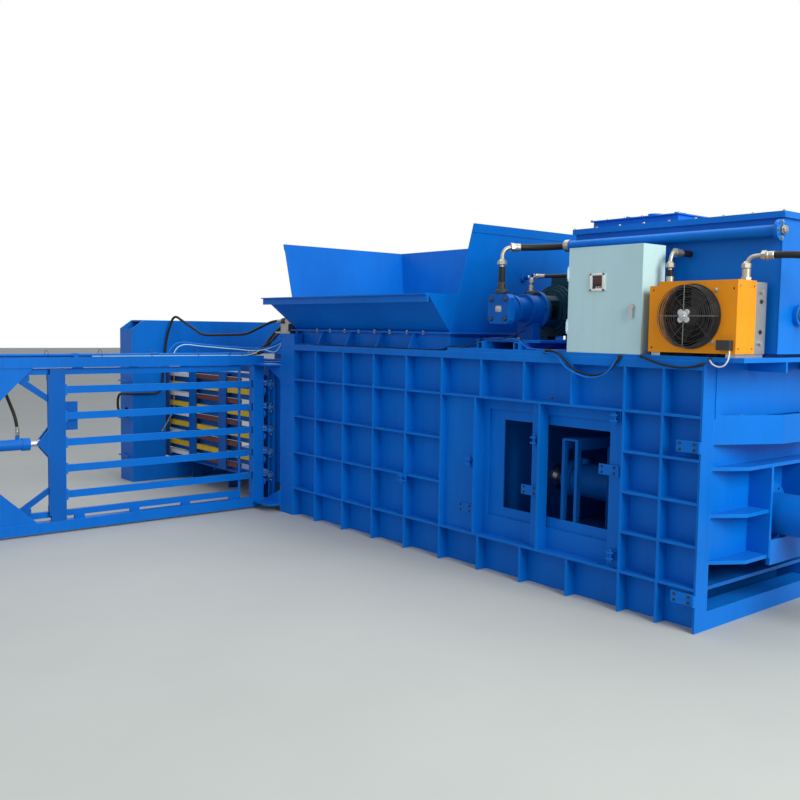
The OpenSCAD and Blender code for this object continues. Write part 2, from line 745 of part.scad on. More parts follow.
// Hinge plates and latch ears of the guards on the near wall, [x, z, face y]
plate_spots = [[door_x1 - 99, window_z - 42, door_y], [door_x2 - 90, window_z + 174, door_y],
  [door_x3 - 113, window_z + 393, door_y], [x_rear - 80, roof_z - 178, -y_side],
  [x_rear - 80, floor_z - 59, -y_side]];
ear_spots = [[rib_x[3] + 7, window_z + 91, -y_side], [door_x1 - 54, window_z + 301, door_y],
  [door_x2 - 40, window_z + 518, door_y], [door_x3 - 63, roof_z - 60, door_y],
  [door_x3 - 63, floor_z + 82, door_y]];
ear_t = 10;
module guard_fittings() {
  color(blue) {
    for (p = plate_spots) {
      block([p[0] - 75, p[2] - 12, p[1] - 32], [p[0] + 75, p[2], p[1] + 32]);
      translate([p[0] + 75, p[2] - 12, p[1] - 32]) cylinder(d = 24, h = 64);
    }
    for (p = ear_spots) {
      block([p[0] - 28, p[2] - 8, p[1] - 34], [p[0] + 28, p[2], p[1] + 34]);
      for (s = [-1, 1])
        block([p[0] - 22, p[2] - 50, p[1] + s * 18 - ear_t / 2],
          [p[0] + 22, p[2] - 8, p[1] + s * 18 + ear_t / 2]);
      translate([p[0], p[2] - 32, p[1] - 38]) cylinder(d = 16, h = 76);
    }
  }
}

// Valve block of the needle and squeeze cylinders, on a bracket at the front beam
valve_z = post_h + 15;
valve_y = -480;
module valve_block() {
  color("lightsteelblue") {
    block([x_front - 230, valve_y - 190, post_h], [x_front + rib_t, valve_y + 190, valve_z]);
    block([x_front - 200, valve_y - 150, valve_z], [x_front - 70, valve_y + 150, valve_z + 75]);
    for (k = [-1, 1]) {
      block([x_front - 185, valve_y + 75 * k - 35, valve_z + 75],
        [x_front - 85, valve_y + 75 * k + 35, valve_z + 125]);
      bar_x(valve_y + 75 * k, valve_z + 100, x_front - 290, x_front + 20, 46);
    }
  }
}

// Square tube along Y between two heights
tube_t = 6;
module beam_y(y0, y1, z0) {
  difference() {
    block([frame_x0, y0, z0], [frame_x1, y1, z0 + beam_w]);
    block([frame_x0 + tube_t, y0 - 1, z0 + tube_t], [frame_x1 - tube_t, y1 + 1, z0 + beam_w - tube_t]);
  }
}

// Frame that carries the needle carriage out to the side of the body
needle_gap = 5;
brace_x = frame_x1 - 20;
module needle_frame() {
  y_in_post = outer_post_y + outer_post_w;
  color(blue) {
    for (z = [beam_z0, beam_top_z]) beam_y(y_in_post, end_post_y1, z);
    difference() {
      block([frame_x0, outer_post_y, 0], [frame_x1, y_in_post, needle_top]);
      needle_bar(outer_post_y - 1, y_in_post + 1, needle_cyl_d + 2 * fit);
    }
    block([frame_x0 - 50, outer_post_y - 30, 0], [frame_x1 + 50, y_in_post + 30, 14]);
    difference() {
      block([frame_x0, end_post_y0, beam_low_z], [frame_x1, end_post_y1, beam_top_z]);
      for (i = [0 : needle_n - 1])
        let (x = needle_t / 2 + needle_gap, z = needle_h / 2 + needle_gap)
          block([needle_x - x, end_post_y0 - 1, level(i) - z],
            [needle_x + x, end_post_y1 + 1, level(i) + z]);
    }
    for (z = [rail_low_z0, rail_top_z0])
      block([frame_x0, y_in_post, z], [frame_x0 + rail_t, rail_y1, z + rail_h]);
    for (y = [y_in_post : 480 : rail_y1 - 80]) {
      block([frame_x0, y, beam_low_z], [frame_x0 + rail_t, y + 80, rail_low_z0]);
      block([frame_x0, y, rail_top_z0 + rail_h], [frame_x0 + rail_t, y + 80, beam_top_z]);
    }
    difference() {
      yz_plate(brace_x, 12) {
        polygon([[y_in_post, beam_top_z], [y_in_post, 720], [-y_side - 2125, beam_top_z]]);
        polygon([[y_in_post, beam_low_z], [-y_side - 2105, beam_low_z], [y_in_post, 700]]);
      }
      needle_bar(y_in_post, y_in_post + 26, 156);
      needle_bar(y_in_post, gland_y, needle_cyl_d + 20);
    }
    translate([frame_x0 + 13, rail_y1 + 3, beam_low_z])
      cylinder(d = 24, h = needle_top - beam_z0 - 2 * beam_w);
    for (z = [60, 1345]) block([frame_x1 - 2, end_post_y0 - 5, z], [x_front, -y_side + 50, z + 15]);
    xz_plate(-y_side - 10, 12) {
      polygon([[frame_x1, 1346], [x_front, 1346], [x_front, 1220]]);
      polygon([[frame_x1, 74], [x_front, 74], [x_front, 200]]);
    }
    for (i = [0 : needle_n - 1])
      bar_y(needle_x - 15, level(i) - 60, end_post_y1, end_post_y1 + 12, 44);
    for (x = [frame_x0 + 25, frame_x0 + 60]) {
      bar_y(x, needle_top + 16, outer_post_y + 200, end_post_y0 - 30, pipe_size);
      for (y = [outer_post_y + 350 : 700 : end_post_y0 - 60])
        block([x - 15, y, needle_top], [x + 15, y + 40, needle_top + 30]);
    }
  }
}

// Carriage: upright post on four shoes, with the clevis of the needle cylinder
post_x0 = needle_x - 15;
clevis_y = carriage_y0 - 70;
clevis_pin = 30;
module needle_carriage() {
  color(dark_blue) {
    block([post_x0, carriage_y0, beam_low_z + 3], [frame_x1, carriage_y1, beam_top_z - 11]);
    block([post_x0, carriage_y0 - 15, 150], [frame_x1, carriage_y0, 1290]);
    for (y = [[carriage_y0, carriage_y1], [carriage_y0 - 258, carriage_y0 - 155]]) {
      block([frame_x0, y[0], rail_top_z0 - 48], [post_x0 + 15, y[1], rail_top_z0 - fit]);
      block([frame_x0 - 15, y[0], rail_top_z0 - 48], [frame_x0 - fit, y[1], rail_top_z0 + rail_h]);
      block([frame_x0, y[0], rail_low_z0 + rail_h + fit],
        [post_x0 + 15, y[1], rail_low_z0 + rail_h + 44]);
      block([frame_x0 - 15, y[0], rail_low_z0], [frame_x0 - fit, y[1], rail_low_z0 + rail_h + 44]);
      for (z = [rail_top_z0 - 48, rail_low_z0 + rail_h + fit])
        block([frame_x0 - 15, y[0], z], [frame_x0, y[1], z + 43]);
    }
    yz_plate(post_x0, 15) {
      polygon([[carriage_y0 - 258, rail_top_z0 - 48], [carriage_y0, 1060], [carriage_y0, 1115],
        [carriage_y0 - 170, rail_top_z0 - 48]]);
      polygon([[carriage_y0 - 258, rail_low_z0 + rail_h + 44],
        [carriage_y0 - 170, rail_low_z0 + rail_h + 44],
        [carriage_y0, 335], [carriage_y0, 390]]);
    }
    block([post_x0 - 12, carriage_y1 - 75, 834], [post_x0, carriage_y1 + 112, 1068]);
    for (s = [-1, 1]) yz_plate(needle_cyl_x + s * 30 - 6, 12) difference() {
      polygon([[carriage_y0, needle_cyl_z - 130], [carriage_y0, needle_cyl_z + 130],
        [clevis_y - 10, needle_cyl_z + 32], [clevis_y - 34, needle_cyl_z + 10],
        [clevis_y - 34, needle_cyl_z - 10], [clevis_y - 10, needle_cyl_z - 32]]);
      translate([clevis_y, needle_cyl_z]) circle(d = clevis_pin);
    }
    bar_x(clevis_y, needle_cyl_z, needle_cyl_x - 40, needle_cyl_x + 38, clevis_pin);
  }
}

module needles() {
  color(blue) for (i = [0 : needle_n - 1]) {
    yz_plate(needle_x - needle_t / 2, needle_t) difference() {
      polygon([[carriage_y1, level(i) - needle_h / 2], [tip_y - 25, level(i) - needle_h / 2],
        [tip_y, level(i) - needle_h / 2 + 14], [tip_y, level(i) + needle_h / 2 - 14],
        [tip_y - 14, level(i) + needle_h / 2], [carriage_y1, level(i) + needle_h / 2]]);
      translate([tip_y - 40, level(i) + 4]) circle(d = 14, $fn = 24);
    }
    block([post_x0, carriage_y1, level(i) - 45], [frame_x1, carriage_y1 + 15, level(i) + 45]);
  }
}

// Needle cylinder, fixed by its flange in the outer post
needle_bore = needle_rod_d + 19;
needle_cap_y = gland_y - needle_barrel_l;
module needle_cylinder() {
  color(blue) difference() {
    union() {
      needle_bar(needle_cap_y, gland_y, needle_cyl_d);
      needle_bar(outer_post_y + outer_post_w, outer_post_y + outer_post_w + 22, 150);
      needle_bar(gland_y - 60, gland_y, needle_cyl_d + 14);
      needle_bar(needle_cap_y, needle_cap_y + 50, needle_cyl_d + 14);
      for (y = [gland_y - 90, needle_cap_y + 80])
        translate([needle_cyl_x, y, needle_cyl_z]) cylinder(d = 34, h = needle_cyl_d / 2 + 26);
    }
    needle_bar(needle_cap_y + 40, gland_y - 50, needle_bore);
    needle_bar(gland_y - 51, gland_y + 1, needle_rod_d + 2 * pin_fit);
  }
}

module needle_rod() {
  color(steel) difference() {
    union() {
      needle_bar(needle_cap_y + 60, clevis_y - 20, needle_rod_d);
      needle_bar(needle_cap_y + 60, needle_cap_y + 110, needle_bore - 2 * fit);
      bar_x(clevis_y, needle_cyl_z, needle_cyl_x - 18, needle_cyl_x + 18, 62);
    }
    bar_x(clevis_y, needle_cyl_z, needle_cyl_x - 20, needle_cyl_x + 20, clevis_pin + 2 * pin_fit);
  }
}

// Column that carries the wire guide wheels, between the two frame brackets
wheel_x = hinge_x - 140;
wheel_y0 = -y_side - 5;
wheel_w = 30;
axle_d = 20;
module guide_column() {
  color(dark_blue) {
    block([wheel_x - 43, -y_side + 30, 75], [wheel_x + 43, -y_side + 50, 1345]);
    for (x = [wheel_x - 43, wheel_x + 37])
      block([x, -y_side + 5, 75], [x + 6, -y_side + 30, 1345]);
    for (i = [0 : needle_n - 1]) {
      bar_y(wheel_x, level(i), wheel_y0 - 6, -y_side + 30, axle_d);
      bar_y(wheel_x, level(i), wheel_y0 - 12, wheel_y0 - 3, 34);
    }
  }
}

module guide_wheel(i) {
  color("dimgray") translate([wheel_x, wheel_y0, level(i)]) rotate([-90, 0, 0]) difference() {
    cylinder(d = wheel_d, h = wheel_w);
    translate([0, 0, -1]) cylinder(d = axle_d + 2 * pin_fit, h = wheel_w + 2);
    rotate_extrude()
      polygon([[wheel_d / 2 + 1, 7], [wheel_d / 2 - 9, 14], [wheel_d / 2 - 9, 16], [wheel_d / 2 + 1, 23]]);
    for (a = [45 : 90 : 315]) rotate(a) translate([16, 0, -1]) cylinder(d = 6, h = wheel_w + 2, $fn = 12);
  }
}
module guide_wheel_1() { guide_wheel(0); }
module guide_wheel_2() { guide_wheel(1); }
module guide_wheel_3() { guide_wheel(2); }
module guide_wheel_4() { guide_wheel(3); }
module guide_wheel_5() { guide_wheel(4); }

// Twister on the far side: five hook shafts in one frame
hook_x = needle_x + 30;
hook_y0 = tip_y + needle_stroke + 3;
shaft_d = 30;
tw_y0 = y_side + 80;
tw_y1 = tw_y0 + 180;
tw_x0 = hook_x - 130;
tw_x1 = hook_x + 40;
module twister_frame() {
  color(blue) {
    for (y = [tw_y0, tw_y1 - 12]) xz_plate(y, 12) difference() {
      strip(tw_x0, 0, tw_x1, side_z1 + 42);
      for (i = [0 : needle_n - 1]) translate([hook_x, level(i)]) circle(d = shaft_d + 2 * pin_fit);
    }
    for (x = [tw_x0, tw_x1 - 12]) block([x, tw_y0 + 12, 0], [x + 12, tw_y1 - 12, side_z1 + 42]);
    for (z = [200, side_z1 + 27]) block([tw_x1 - 2, y_side - 22, z], [x_front, tw_y1, z + 15]);
    for (z = [0, side_z1 + 42]) block([tw_x0, tw_y0, z], [tw_x1, tw_y1, z + 12]);
    block([tw_x0 - 12, tw_y1, 420], [tw_x1 + 12, tw_y1 + 130, 1100]);
  }
}

module twist_hook(i) {
  color("dimgray") {
    bar_y(hook_x, level(i), hook_y0 + 25, tw_y1 - 14, shaft_d);
    bar_y(hook_x, level(i), tw_y0 + 60, tw_y0 + 90, 50);
    bar_y(hook_x, level(i), hook_y0 + 25, hook_y0 + 40, 44);
    difference() {
      bar_y(hook_x, level(i), hook_y0, hook_y0 + 25, 56);
      block([hook_x - 5, hook_y0 - 1, level(i) - 5], [hook_x + 40, hook_y0 + 14, level(i) + 5]);
      block([hook_x - 40, hook_y0 - 1, level(i) - 5], [hook_x - 18, hook_y0 + 14, level(i) + 40]);
    }
  }
}
module twist_hook_1() { twist_hook(0); }
module twist_hook_2() { twist_hook(1); }
module twist_hook_3() { twist_hook(2); }
module twist_hook_4() { twist_hook(3); }
module twist_hook_5() { twist_hook(4); }

// Squeeze portal: two face plates, two box legs and a box beam over the channel
portal_t = 16;
leg_x0 = portal_x0 + portal_t;
leg_x1 = channel_x0 - portal_t;
open_top = roof_z + 140;
open_low = floor_z - 50;
module portal_sketch() {
  difference() {
    polygon([[-leg_y1, 0], [-leg_y1, portal_h - bevel_h], [-leg_y1 + bevel_w, portal_h],
      [leg_y1 - bevel_w, portal_h], [leg_y1, portal_h - bevel_h], [leg_y1, 0]]);
    strip(-leg_y0, open_low, leg_y0, open_top);
  }
}

squeeze_z = 738;
squeeze_d = 130;
module squeeze_portal() {
  color(blue) {
    for (x = [portal_x0, leg_x1]) yz_plate(x, portal_t) portal_sketch();
    for (s = [-1, 1]) {
      difference() {
        union() for (y = [leg_y0, leg_y1 - portal_t])
          block([leg_x0 - 1, s > 0 ? y : -y - portal_t, 0],
            [leg_x1 + 1, s > 0 ? y + portal_t : -y, portal_h - bevel_h]);
        bar_y(portal_x, squeeze_z, s > 0 ? 0 : -leg_y1 - 1, s > 0 ? leg_y1 + 1 : 0, squeeze_d + 2);
      }
      for (z = [0, 400, 1076])
        block([leg_x0 - 1, s > 0 ? leg_y0 + portal_t - 1 : -leg_y1 + portal_t - 1, z],
          [leg_x1 + 1, s > 0 ? leg_y1 - portal_t + 1 : -leg_y0 - portal_t + 1, z + portal_t]);
      for (z = [330, 738, 1146])
        block([portal_x0 + 40, s > 0 ? leg_y1 : -leg_y1 - 45, z - 60],
          [channel_x0 - 40, s > 0 ? leg_y1 + 45 : -leg_y1, z - 46]);
    }
    block([leg_x0 - 1, -leg_y0 - 1, open_low - portal_t], [leg_x1 + 1, leg_y0 + 1, open_low]);
    block([leg_x0 - 1, -leg_y0 - 1, open_top], [leg_x1 + 1, leg_y0 + 1, open_top + portal_t]);
    block([leg_x0 - 1, -leg_y1 + bevel_w, portal_h - portal_t],
      [leg_x1 + 1, leg_y1 - bevel_w, portal_h]);
  }
}

// Fixed floor of the channel and the beams over it
channel_end = portal_x0 - 40;
module channel_bed() {
  color(dark_blue) {
    difference() {
      block([channel_end, -y_in - 40, floor_z - plate_t], [x_front, y_in + 40, floor_z]);
      for (s = [-1, 1]) block([hinge_x - 60, s * (y_in + 80) - 70, 0],
        [x_front + 1, s * (y_in + 80) + 70, floor_z + 1]);
    }
    for (y = [-450, 450])
      block([channel_end, y - 8, open_low], [x_front, y + 8, floor_z - plate_t]);
    for (x = [x_front - 700, x_front - 1400, channel_x0 + 60]) {
      block([x, -y_in - 40, open_low], [x + rib_t, y_in + 40, floor_z - plate_t]);
      for (s = [-1, 1]) block([x, s * 450 - 60, 0], [x + rib_t, s * 450 + 60, open_low]);
    }
    for (y = [-500, 0, 500])
      block([channel_end, y - 40, roof_z + 5], [x_front, y + 40, roof_z + 80]);
    for (x = [x_front - 600, x_front - 1200, x_front - 1800])
      block([x, -y_in, roof_z + 80], [x + 120, y_in, roof_z + 96]);
    block([channel_end, -y_in, roof_z + 5], [channel_end + 30, y_in, roof_z + 80]);
  }
}

// Channel side on the needle side: slotted plate, end posts, knuckles and straps
slot_x0 = side_x0 + 85;
slot_x1 = side_x1 - 80;
strap_x = [portal_x, x_front - 1800, x_front - 1150, x_front - 500];
strap_w = 150;
gate_x = 60;
gate_z = needle_h / 2 + 10;
module channel_side() {
  difference() {
    union() {
      xz_plate(-side_y, side_t) difference() {
        strip(side_x0, side_z0, side_x1, side_z1);
        for (i = [0 : needle_n - 1]) {
          strip(slot_x0, level(i) - slot_h / 2, slot_x1, level(i) + slot_h / 2);
          strip(needle_x - gate_x, level(i) - gate_z, needle_x + gate_x, level(i) + gate_z);
        }
      }
      block([side_x1 - 75, -strap_y, side_z0], [side_x1 - 22, -side_y, side_z1]);
      block([side_x0, -strap_y, side_z0], [side_x0 + 60, -side_y, side_z1]);
      for (x = strap_x)
        block([x - strap_w / 2, -strap_y - strap_t, side_z0], [x + strap_w / 2, -strap_y, side_z1]);
      for (x = strap_x, z = [side_z0, side_z1 - 20])
        block([x - strap_w / 2, -strap_y, z], [x + strap_w / 2, -side_y, z + 20]);
      for (k = [0 : lug_n - 2]) translate([hinge_x, -hinge_y, lug_z(2 * k) + lug_h + 2]) {
        cylinder(d = knuckle_d, h = lug_z(2) - lug_z(0) - lug_h - 4);
        translate([-50, -14, 0]) cube([50, knuckle_d / 2 + 14, lug_z(2) - lug_z(0) - lug_h - 4]);
      }
    }
    translate([hinge_x, -hinge_y, 0]) cylinder(d = hinge_pin_d + 2 * pin_fit, h = 2 * wall_h);
  }
}

module near_side() {
  color(dark_blue) channel_side();
}

module far_side() {
  color(dark_blue) mirror([0, 1, 0]) channel_side();
}

// Stiffening bars between the slots of a channel side
bar_x0 = side_x0 + 60;
bar_x1 = x_front - 435;
module side_bars() {
  for (i = [0 : needle_n - 2])
    block([bar_x0, -strap_y, level(i) + needle_pitch / 2 - bar_w / 2],
      [bar_x1, -side_y, level(i) + needle_pitch / 2 + bar_w / 2]);
}

module near_side_bars() {
  color("gold") side_bars();
}

module far_side_bars() {
  color("gold") mirror([0, 1, 0]) side_bars();
}

// Wire strips over the slots: pale ones near the portal, brown ones near the body
strip_h = 42;
strip_x = [portal_x + 21, strap_x[1] + 70, strap_x[2] + 280];
module wire_strips() {
  color("ivory") for (i = [0 : needle_n - 1])
    block([strip_x[0], -strap_y, level(i) - strip_h / 2], [strip_x[1] + 1, -side_y, level(i) + strip_h / 2]);
  color("sienna") for (i = [0 : needle_n - 1])
    block([strip_x[1], -strap_y, level(i) - strip_h / 2], [strip_x[2], -side_y, level(i) + strip_h / 2]);
}

// Squeeze cylinder in a portal leg and its rod with the push pad
squeeze_rod_d = 60;
squeeze_bore = 95;
sq_y0 = leg_y0 - 10;
sq_y1 = leg_y1 - 50;
pad_y = strap_y + strap_t + fit;
pad_t = 16;
module one_squeeze_cylinder() {
  difference() {
    union() {
      bar_y(portal_x, squeeze_z, -sq_y1, -sq_y0, squeeze_d);
      bar_y(portal_x, squeeze_z, -leg_y0 - portal_t - 20, -leg_y0 - portal_t, 200);
      bar_x(-sq_y1 + 60, squeeze_z, portal_x, portal_x + 95, 36);
    }
    bar_y(portal_x, squeeze_z, -sq_y1 + 20, -sq_y0 - 30, squeeze_bore);
    bar_y(portal_x, squeeze_z, -sq_y0 - 31, -sq_y0 + 1, squeeze_rod_d + 2 * pin_fit);
  }
}

module squeeze_cylinders() {
  color(blue) {
    one_squeeze_cylinder();
    mirror([0, 1, 0]) one_squeeze_cylinder();
  }
}

module squeeze_rod() {
  bar_y(portal_x, squeeze_z, -pad_y - pad_t, -pad_y, 110);
  bar_y(portal_x, squeeze_z, -sq_y1 + 30, -pad_y - 1, squeeze_rod_d);
  bar_y(portal_x, squeeze_z, -sq_y1 + 30, -sq_y1 + 75, squeeze_bore - 2 * fit);
}

module near_squeeze_rod() {
  color(steel) squeeze_rod();
}

module far_squeeze_rod() {
  color(steel) mirror([0, 1, 0]) squeeze_rod();
}

// Oil tank: open box with a rim, closed by a flat top under the service lid
tank_y1 = tank_y0 + tank_w;
outlet = [tank_x1 + 8, tank_y0 + 200, tank_z0 + 220];
module oil_tank() {
  color(blue) {
    difference() {
      block([tank_x0, tank_y0, tank_z0], [tank_x1, tank_y1, tank_top]);
      block([tank_x0 + tank_wall, tank_y0 + tank_wall, tank_z0 + tank_wall],
        [tank_x1 - tank_wall, tank_y1 - tank_wall, tank_top - tank_wall]);
      block([lid_x0 + 60, lid_y0 + 60, tank_top - 50], [lid_x1 - 60, lid_y1 - 60, tank_top + 1]);
    }
    difference() {
      block([tank_x0 - tank_rim, tank_y0 - tank_rim, tank_top - 35],
        [tank_x1 + tank_rim, tank_y1 + tank_rim, tank_top]);
      block([tank_x0 + 1, tank_y0 + 1, tank_z0], [tank_x1 - 1, tank_y1 - 1, tank_top + 1]);
    }
    for (x = [tank_x0 + 80, tank_x1 - 160])
      block([x, tank_y0 + 20, deck_z], [x + 80, tank_y1 - 20, tank_z0]);
    difference() {
      bar_x(outlet[1], outlet[2], tank_x1 - 2, tank_x1 + 30, 120);
      bar_x(outlet[1], outlet[2], tank_x1 + 8, tank_x1 + 31, 84);
    }
  }
}

// Service lid on the tank, with a rim, hand grips and the filler cap
lid_x0 = tank_x0 + 20;
lid_x1 = tank_x0 + 680;
lid_y0 = tank_y0 + 150;
lid_y1 = tank_y0 + 600;
lid_h = 68;
module tank_lid() {
  color(blue) {
    difference() {
      block([lid_x0, lid_y0, tank_top], [lid_x1, lid_y1, tank_top + lid_h]);
      block([lid_x0 + 8, lid_y0 + 8, tank_top - 1], [lid_x1 - 8, lid_y1 - 8, tank_top + lid_h - 8]);
    }
    block([lid_x0 - 16, lid_y0 - 16, tank_top + lid_h - 8], [lid_x1 + 16, lid_y1 + 16, tank_top + lid_h]);
    for (s = [-190, 190])
      translate([(lid_x0 + lid_x1) / 2 + s, (lid_y0 + lid_y1) / 2, tank_top + lid_h])
      rotate([90, 0, 90]) linear_extrude(12) difference() {
        translate([-60, 0]) square([120, 34]);
        translate([-48, -1]) square([96, 24]);
      }
    translate([(lid_x0 + lid_x1) / 2, (lid_y0 + lid_y1) / 2, tank_top + lid_h]) cylinder(d = 90, h = 40);
  }
}

// Return pipe along the tank, with its end flange and the elbow at the pump end
pipe_x0 = tank_x0 - 22;
pipe_x1 = tank_x1 + 2;
module return_pipe() {
  color(blue) {
    difference() {
      bar_x(pipe_y, pipe_z, pipe_x0, pipe_x1, pipe_d);
      bar_x(pipe_y, pipe_z, pipe_x0 - 1, pipe_x1 - 40, pipe_d - 12);
    }
    difference() {
      bar_x(pipe_y, pipe_z, pipe_x1, pipe_x1 + 20, 116);
      for (a = [45 : 90 : 315]) translate([pipe_x1 - 1, pipe_y, pipe_z]) rotate([a, 0, 0])
        translate([0, 43, 0]) rotate([0, 90, 0]) cylinder(d = 11, h = 22, $fn = 16);
    }
    for (x = [pipe_x0 + 120, (pipe_x0 + pipe_x1) / 2, pipe_x1 - 160])
      block([x, pipe_y + pipe_d / 2 - 4, pipe_z - 30], [x + 50, tank_y0, pipe_z + 30]);
  }
}

// Foot mounted motor with cooling fins and a terminal box
fin_n = 24;
module motor() {
  y1 = motor_y0 + motor_l;
  color(dark_blue) difference() {
    motor_solid(y1);
    shaft_bore(motor_y0);
  }
}

module motor_solid(y1) {
  pump_bar(motor_y0 + 20, y1 - 110, motor_d - 50);
  for (k = [0 : fin_n - 1]) translate([pump_x, motor_y0 + 45, pump_z]) rotate([-90, 0, 0])
    rotate(k * 360 / fin_n)
    translate([motor_d / 2 - 32, -3, 0]) cube([26, 6, motor_l - 170]);
  pump_bar(motor_y0, motor_y0 + 20, motor_d - 30);
  pump_bar(motor_y0 + 20, motor_y0 + 45, motor_d);
  pump_bar(y1 - 125, y1 - 110, motor_d);
  difference() {
    pump_bar(y1 - 110, y1, motor_d - 10);
    pump_bar(y1 - 109, y1 - 5, motor_d - 22);
    for (z = [-120 : 40 : 120])
      block([pump_x - sqrt(16900 - z * z), y1 - 10, pump_z + z - 8],
        [pump_x + sqrt(16900 - z * z), y1 + 1, pump_z + z + 8]);
  }
  for (s = [-1, 1], y = [motor_y0 + 70, motor_y0 + motor_l - 240])
    block([pump_x + s * 140 - 45, y, base_z], [pump_x + s * 140 + 45, y + 90, base_z + 95]);
  block([pump_x - 90, motor_y0 + 90, pump_z + motor_d / 2 - 32],
    [pump_x + 90, motor_y0 + 290, pump_z + motor_d / 2 + 75]);
}

// Open lantern between the motor and the pump
bell_d = 250;
module bell_housing() {
  color(dark_blue) difference() {
    union() {
      pump_bar(bell_y0, motor_y0, bell_d);
      pump_bar(motor_y0 - 20, motor_y0, bell_d + 60);
      pump_bar(bell_y0, bell_y0 + 14, bell_d + 20);
    }
    pump_bar(bell_y0 - 1, motor_y0 + 1, bell_d - 40);
    for (a = [0 : 90 : 270]) translate([pump_x, bell_y0 + 35, pump_z]) rotate([0, a, 0])
      translate([-70, 0, 0]) cube([140, bell_l - 75, bell_d]);
  }
}

shaft_out = 48;
module shaft_bore(y) {
  pump_bar(y - 15, y + 15, shaft_out + 2 * pin_fit);
}

module drive_coupling() {
  color("goldenrod") {
    pump_bar(bell_y0 + 22, bell_y0 + 72, 92);
    pump_bar(bell_y0 + 80, motor_y0 - 12, 92);
    pump_bar(bell_y0 + 70, bell_y0 + 82, 76);
    pump_bar(bell_y0 - 14, motor_y0 + 14, shaft_out);
    for (k = [0 : 5]) translate([pump_x, bell_y0 + 40, pump_z]) rotate([0, 60 * k, 0])
      translate([0, 0, 46]) cylinder(d = 14, h = 6, $fn = 6);
  }
}

// Pump with its square end cap towards the near side, two ports on top
cap_w = 200;
port_z = pump_z + 113;
module pump() {
  color(dark_blue) difference() {
    pump_solid();
    shaft_bore(bell_y0);
  }
}

module pump_solid() {
  difference() {
    block([pump_x - cap_w / 2, pump_y0, pump_z - cap_w / 2],
      [pump_x + cap_w / 2, pump_y0 + 55, pump_z + cap_w / 2]);
    for (sx = [-1, 1], sz = [-1, 1])
      translate([pump_x + sx * cap_w / 2, pump_y0 - 1, pump_z + sz * cap_w / 2]) rotate([0, 45, 0])
        cube([34, 120, 34], center = true);
  }
  for (sx = [-1, 1], sz = [-1, 1])
    bar_y(pump_x + sx * 66, pump_z + sz * 66, pump_y0 - 14, pump_y0, 30);
  pump_bar(pump_y0 + 55, ring_y0, 170);
  pump_bar(pump_y0 + 120, pump_y0 + 150, 196);
  pump_bar(ring_y0, bell_y0 - 20, 222);
  pump_bar(bell_y0 - 20, bell_y0, bell_d + 20);
  for (y = [pump_y0 + 27, bell_y0 - 50])
    translate([pump_x, y, pump_z + 80]) cylinder(d = 50, h = port_z - pump_z - 80);
  block([pump_x - 70, ring_y0 + 30, base_z], [pump_x + 70, bell_y0 - 25, pump_z - 90]);
}

// Control cabinet: shell, mounting plate with devices, glands underneath
cab_wall = 8;
cab_y0 = -y_side + door_t - fit;
cab_y1 = -y_side + cabinet_d;
cab_z0 = deck_z;
hang_x = cabinet_x0 - 4;
hang_y = -y_side - 2;
hang_z = [130, cabinet_h - 190];
hang_h = 60;
module control_cabinet() {
  color("lightgray") {
    difference() {
      block([cabinet_x0, cab_y0 + 2 * fit, cab_z0], [cabinet_x1, cab_y1, cab_z0 + cabinet_h]);
      block([cabinet_x0 + cab_wall, cab_y0 - 1, cab_z0 + cab_wall],
        [cabinet_x1 - cab_wall, cab_y1 - cab_wall, cab_z0 + cabinet_h - cab_wall]);
    }
    block([cabinet_x0 + 50, cab_y1 - 35, cab_z0 + 50],
      [cabinet_x1 - 50, cab_y1 - cab_wall, cab_z0 + cabinet_h - 50]);
    for (r = [0 : 2], k = [0 : 3])
      block([cabinet_x0 + 80 + 105 * k, cab_y1 - 110, cab_z0 + 100 + 170 * r],
        [cabinet_x0 + 165 + 105 * k, cab_y1 - 35, cab_z0 + 210 + 170 * r]);
    for (z = hang_z, e = [-16, hang_h + 1]) translate([0, 0, cab_z0 + z + e]) {
      block([hang_x - 3, hang_y - 2, 0], [cabinet_x0 - 2 * fit, cab_y0 + 20, 15]);
      block([hang_x - 3, cab_y0 + 2 * fit, 0], [cabinet_x0 + 1, cab_y0 + 20, 15]);
    }
    for (z = hang_z) translate([hang_x, hang_y, cab_z0 + z - 10])
      cylinder(d = 6, h = hang_h + 20, $fn = 24);
  }
}

lock_x = cabinet_x1 - 60;
lock_z = deck_z + 280;
module cabinet_door() {
  color("lightgray") {
    difference() {
      union() {
        block([cabinet_x0, -y_side, cab_z0], [cabinet_x1, cab_y0, cab_z0 + cabinet_h]);
        block([cabinet_x0 + 180, -y_side - 6, cab_z0 + 380],
          [cabinet_x0 + 290, -y_side, cab_z0 + 485]);
      }
      block([cabinet_x0 + 190, -y_side - 7, cab_z0 + 390],
        [cabinet_x0 + 280, -y_side + 4, cab_z0 + 475]);
      bar_y(lock_x, lock_z, -y_side - 1, cab_y0 + 1, 16 + 2 * pin_fit);
      for (z = hang_z) translate([hang_x, hang_y, cab_z0 + z - fit])
        cylinder(d = 7, h = hang_h + 2 * fit, $fn = 24);
    }
    for (z = hang_z) translate([hang_x, hang_y, cab_z0 + z]) difference() {
      union() {
        cylinder(d = 14, h = hang_h);
        translate([0, 2, 0]) cube([8, 5, hang_h]);
      }
      translate([0, 0, -1]) cylinder(d = 7, h = hang_h + 2, $fn = 24);
    }
  }
}

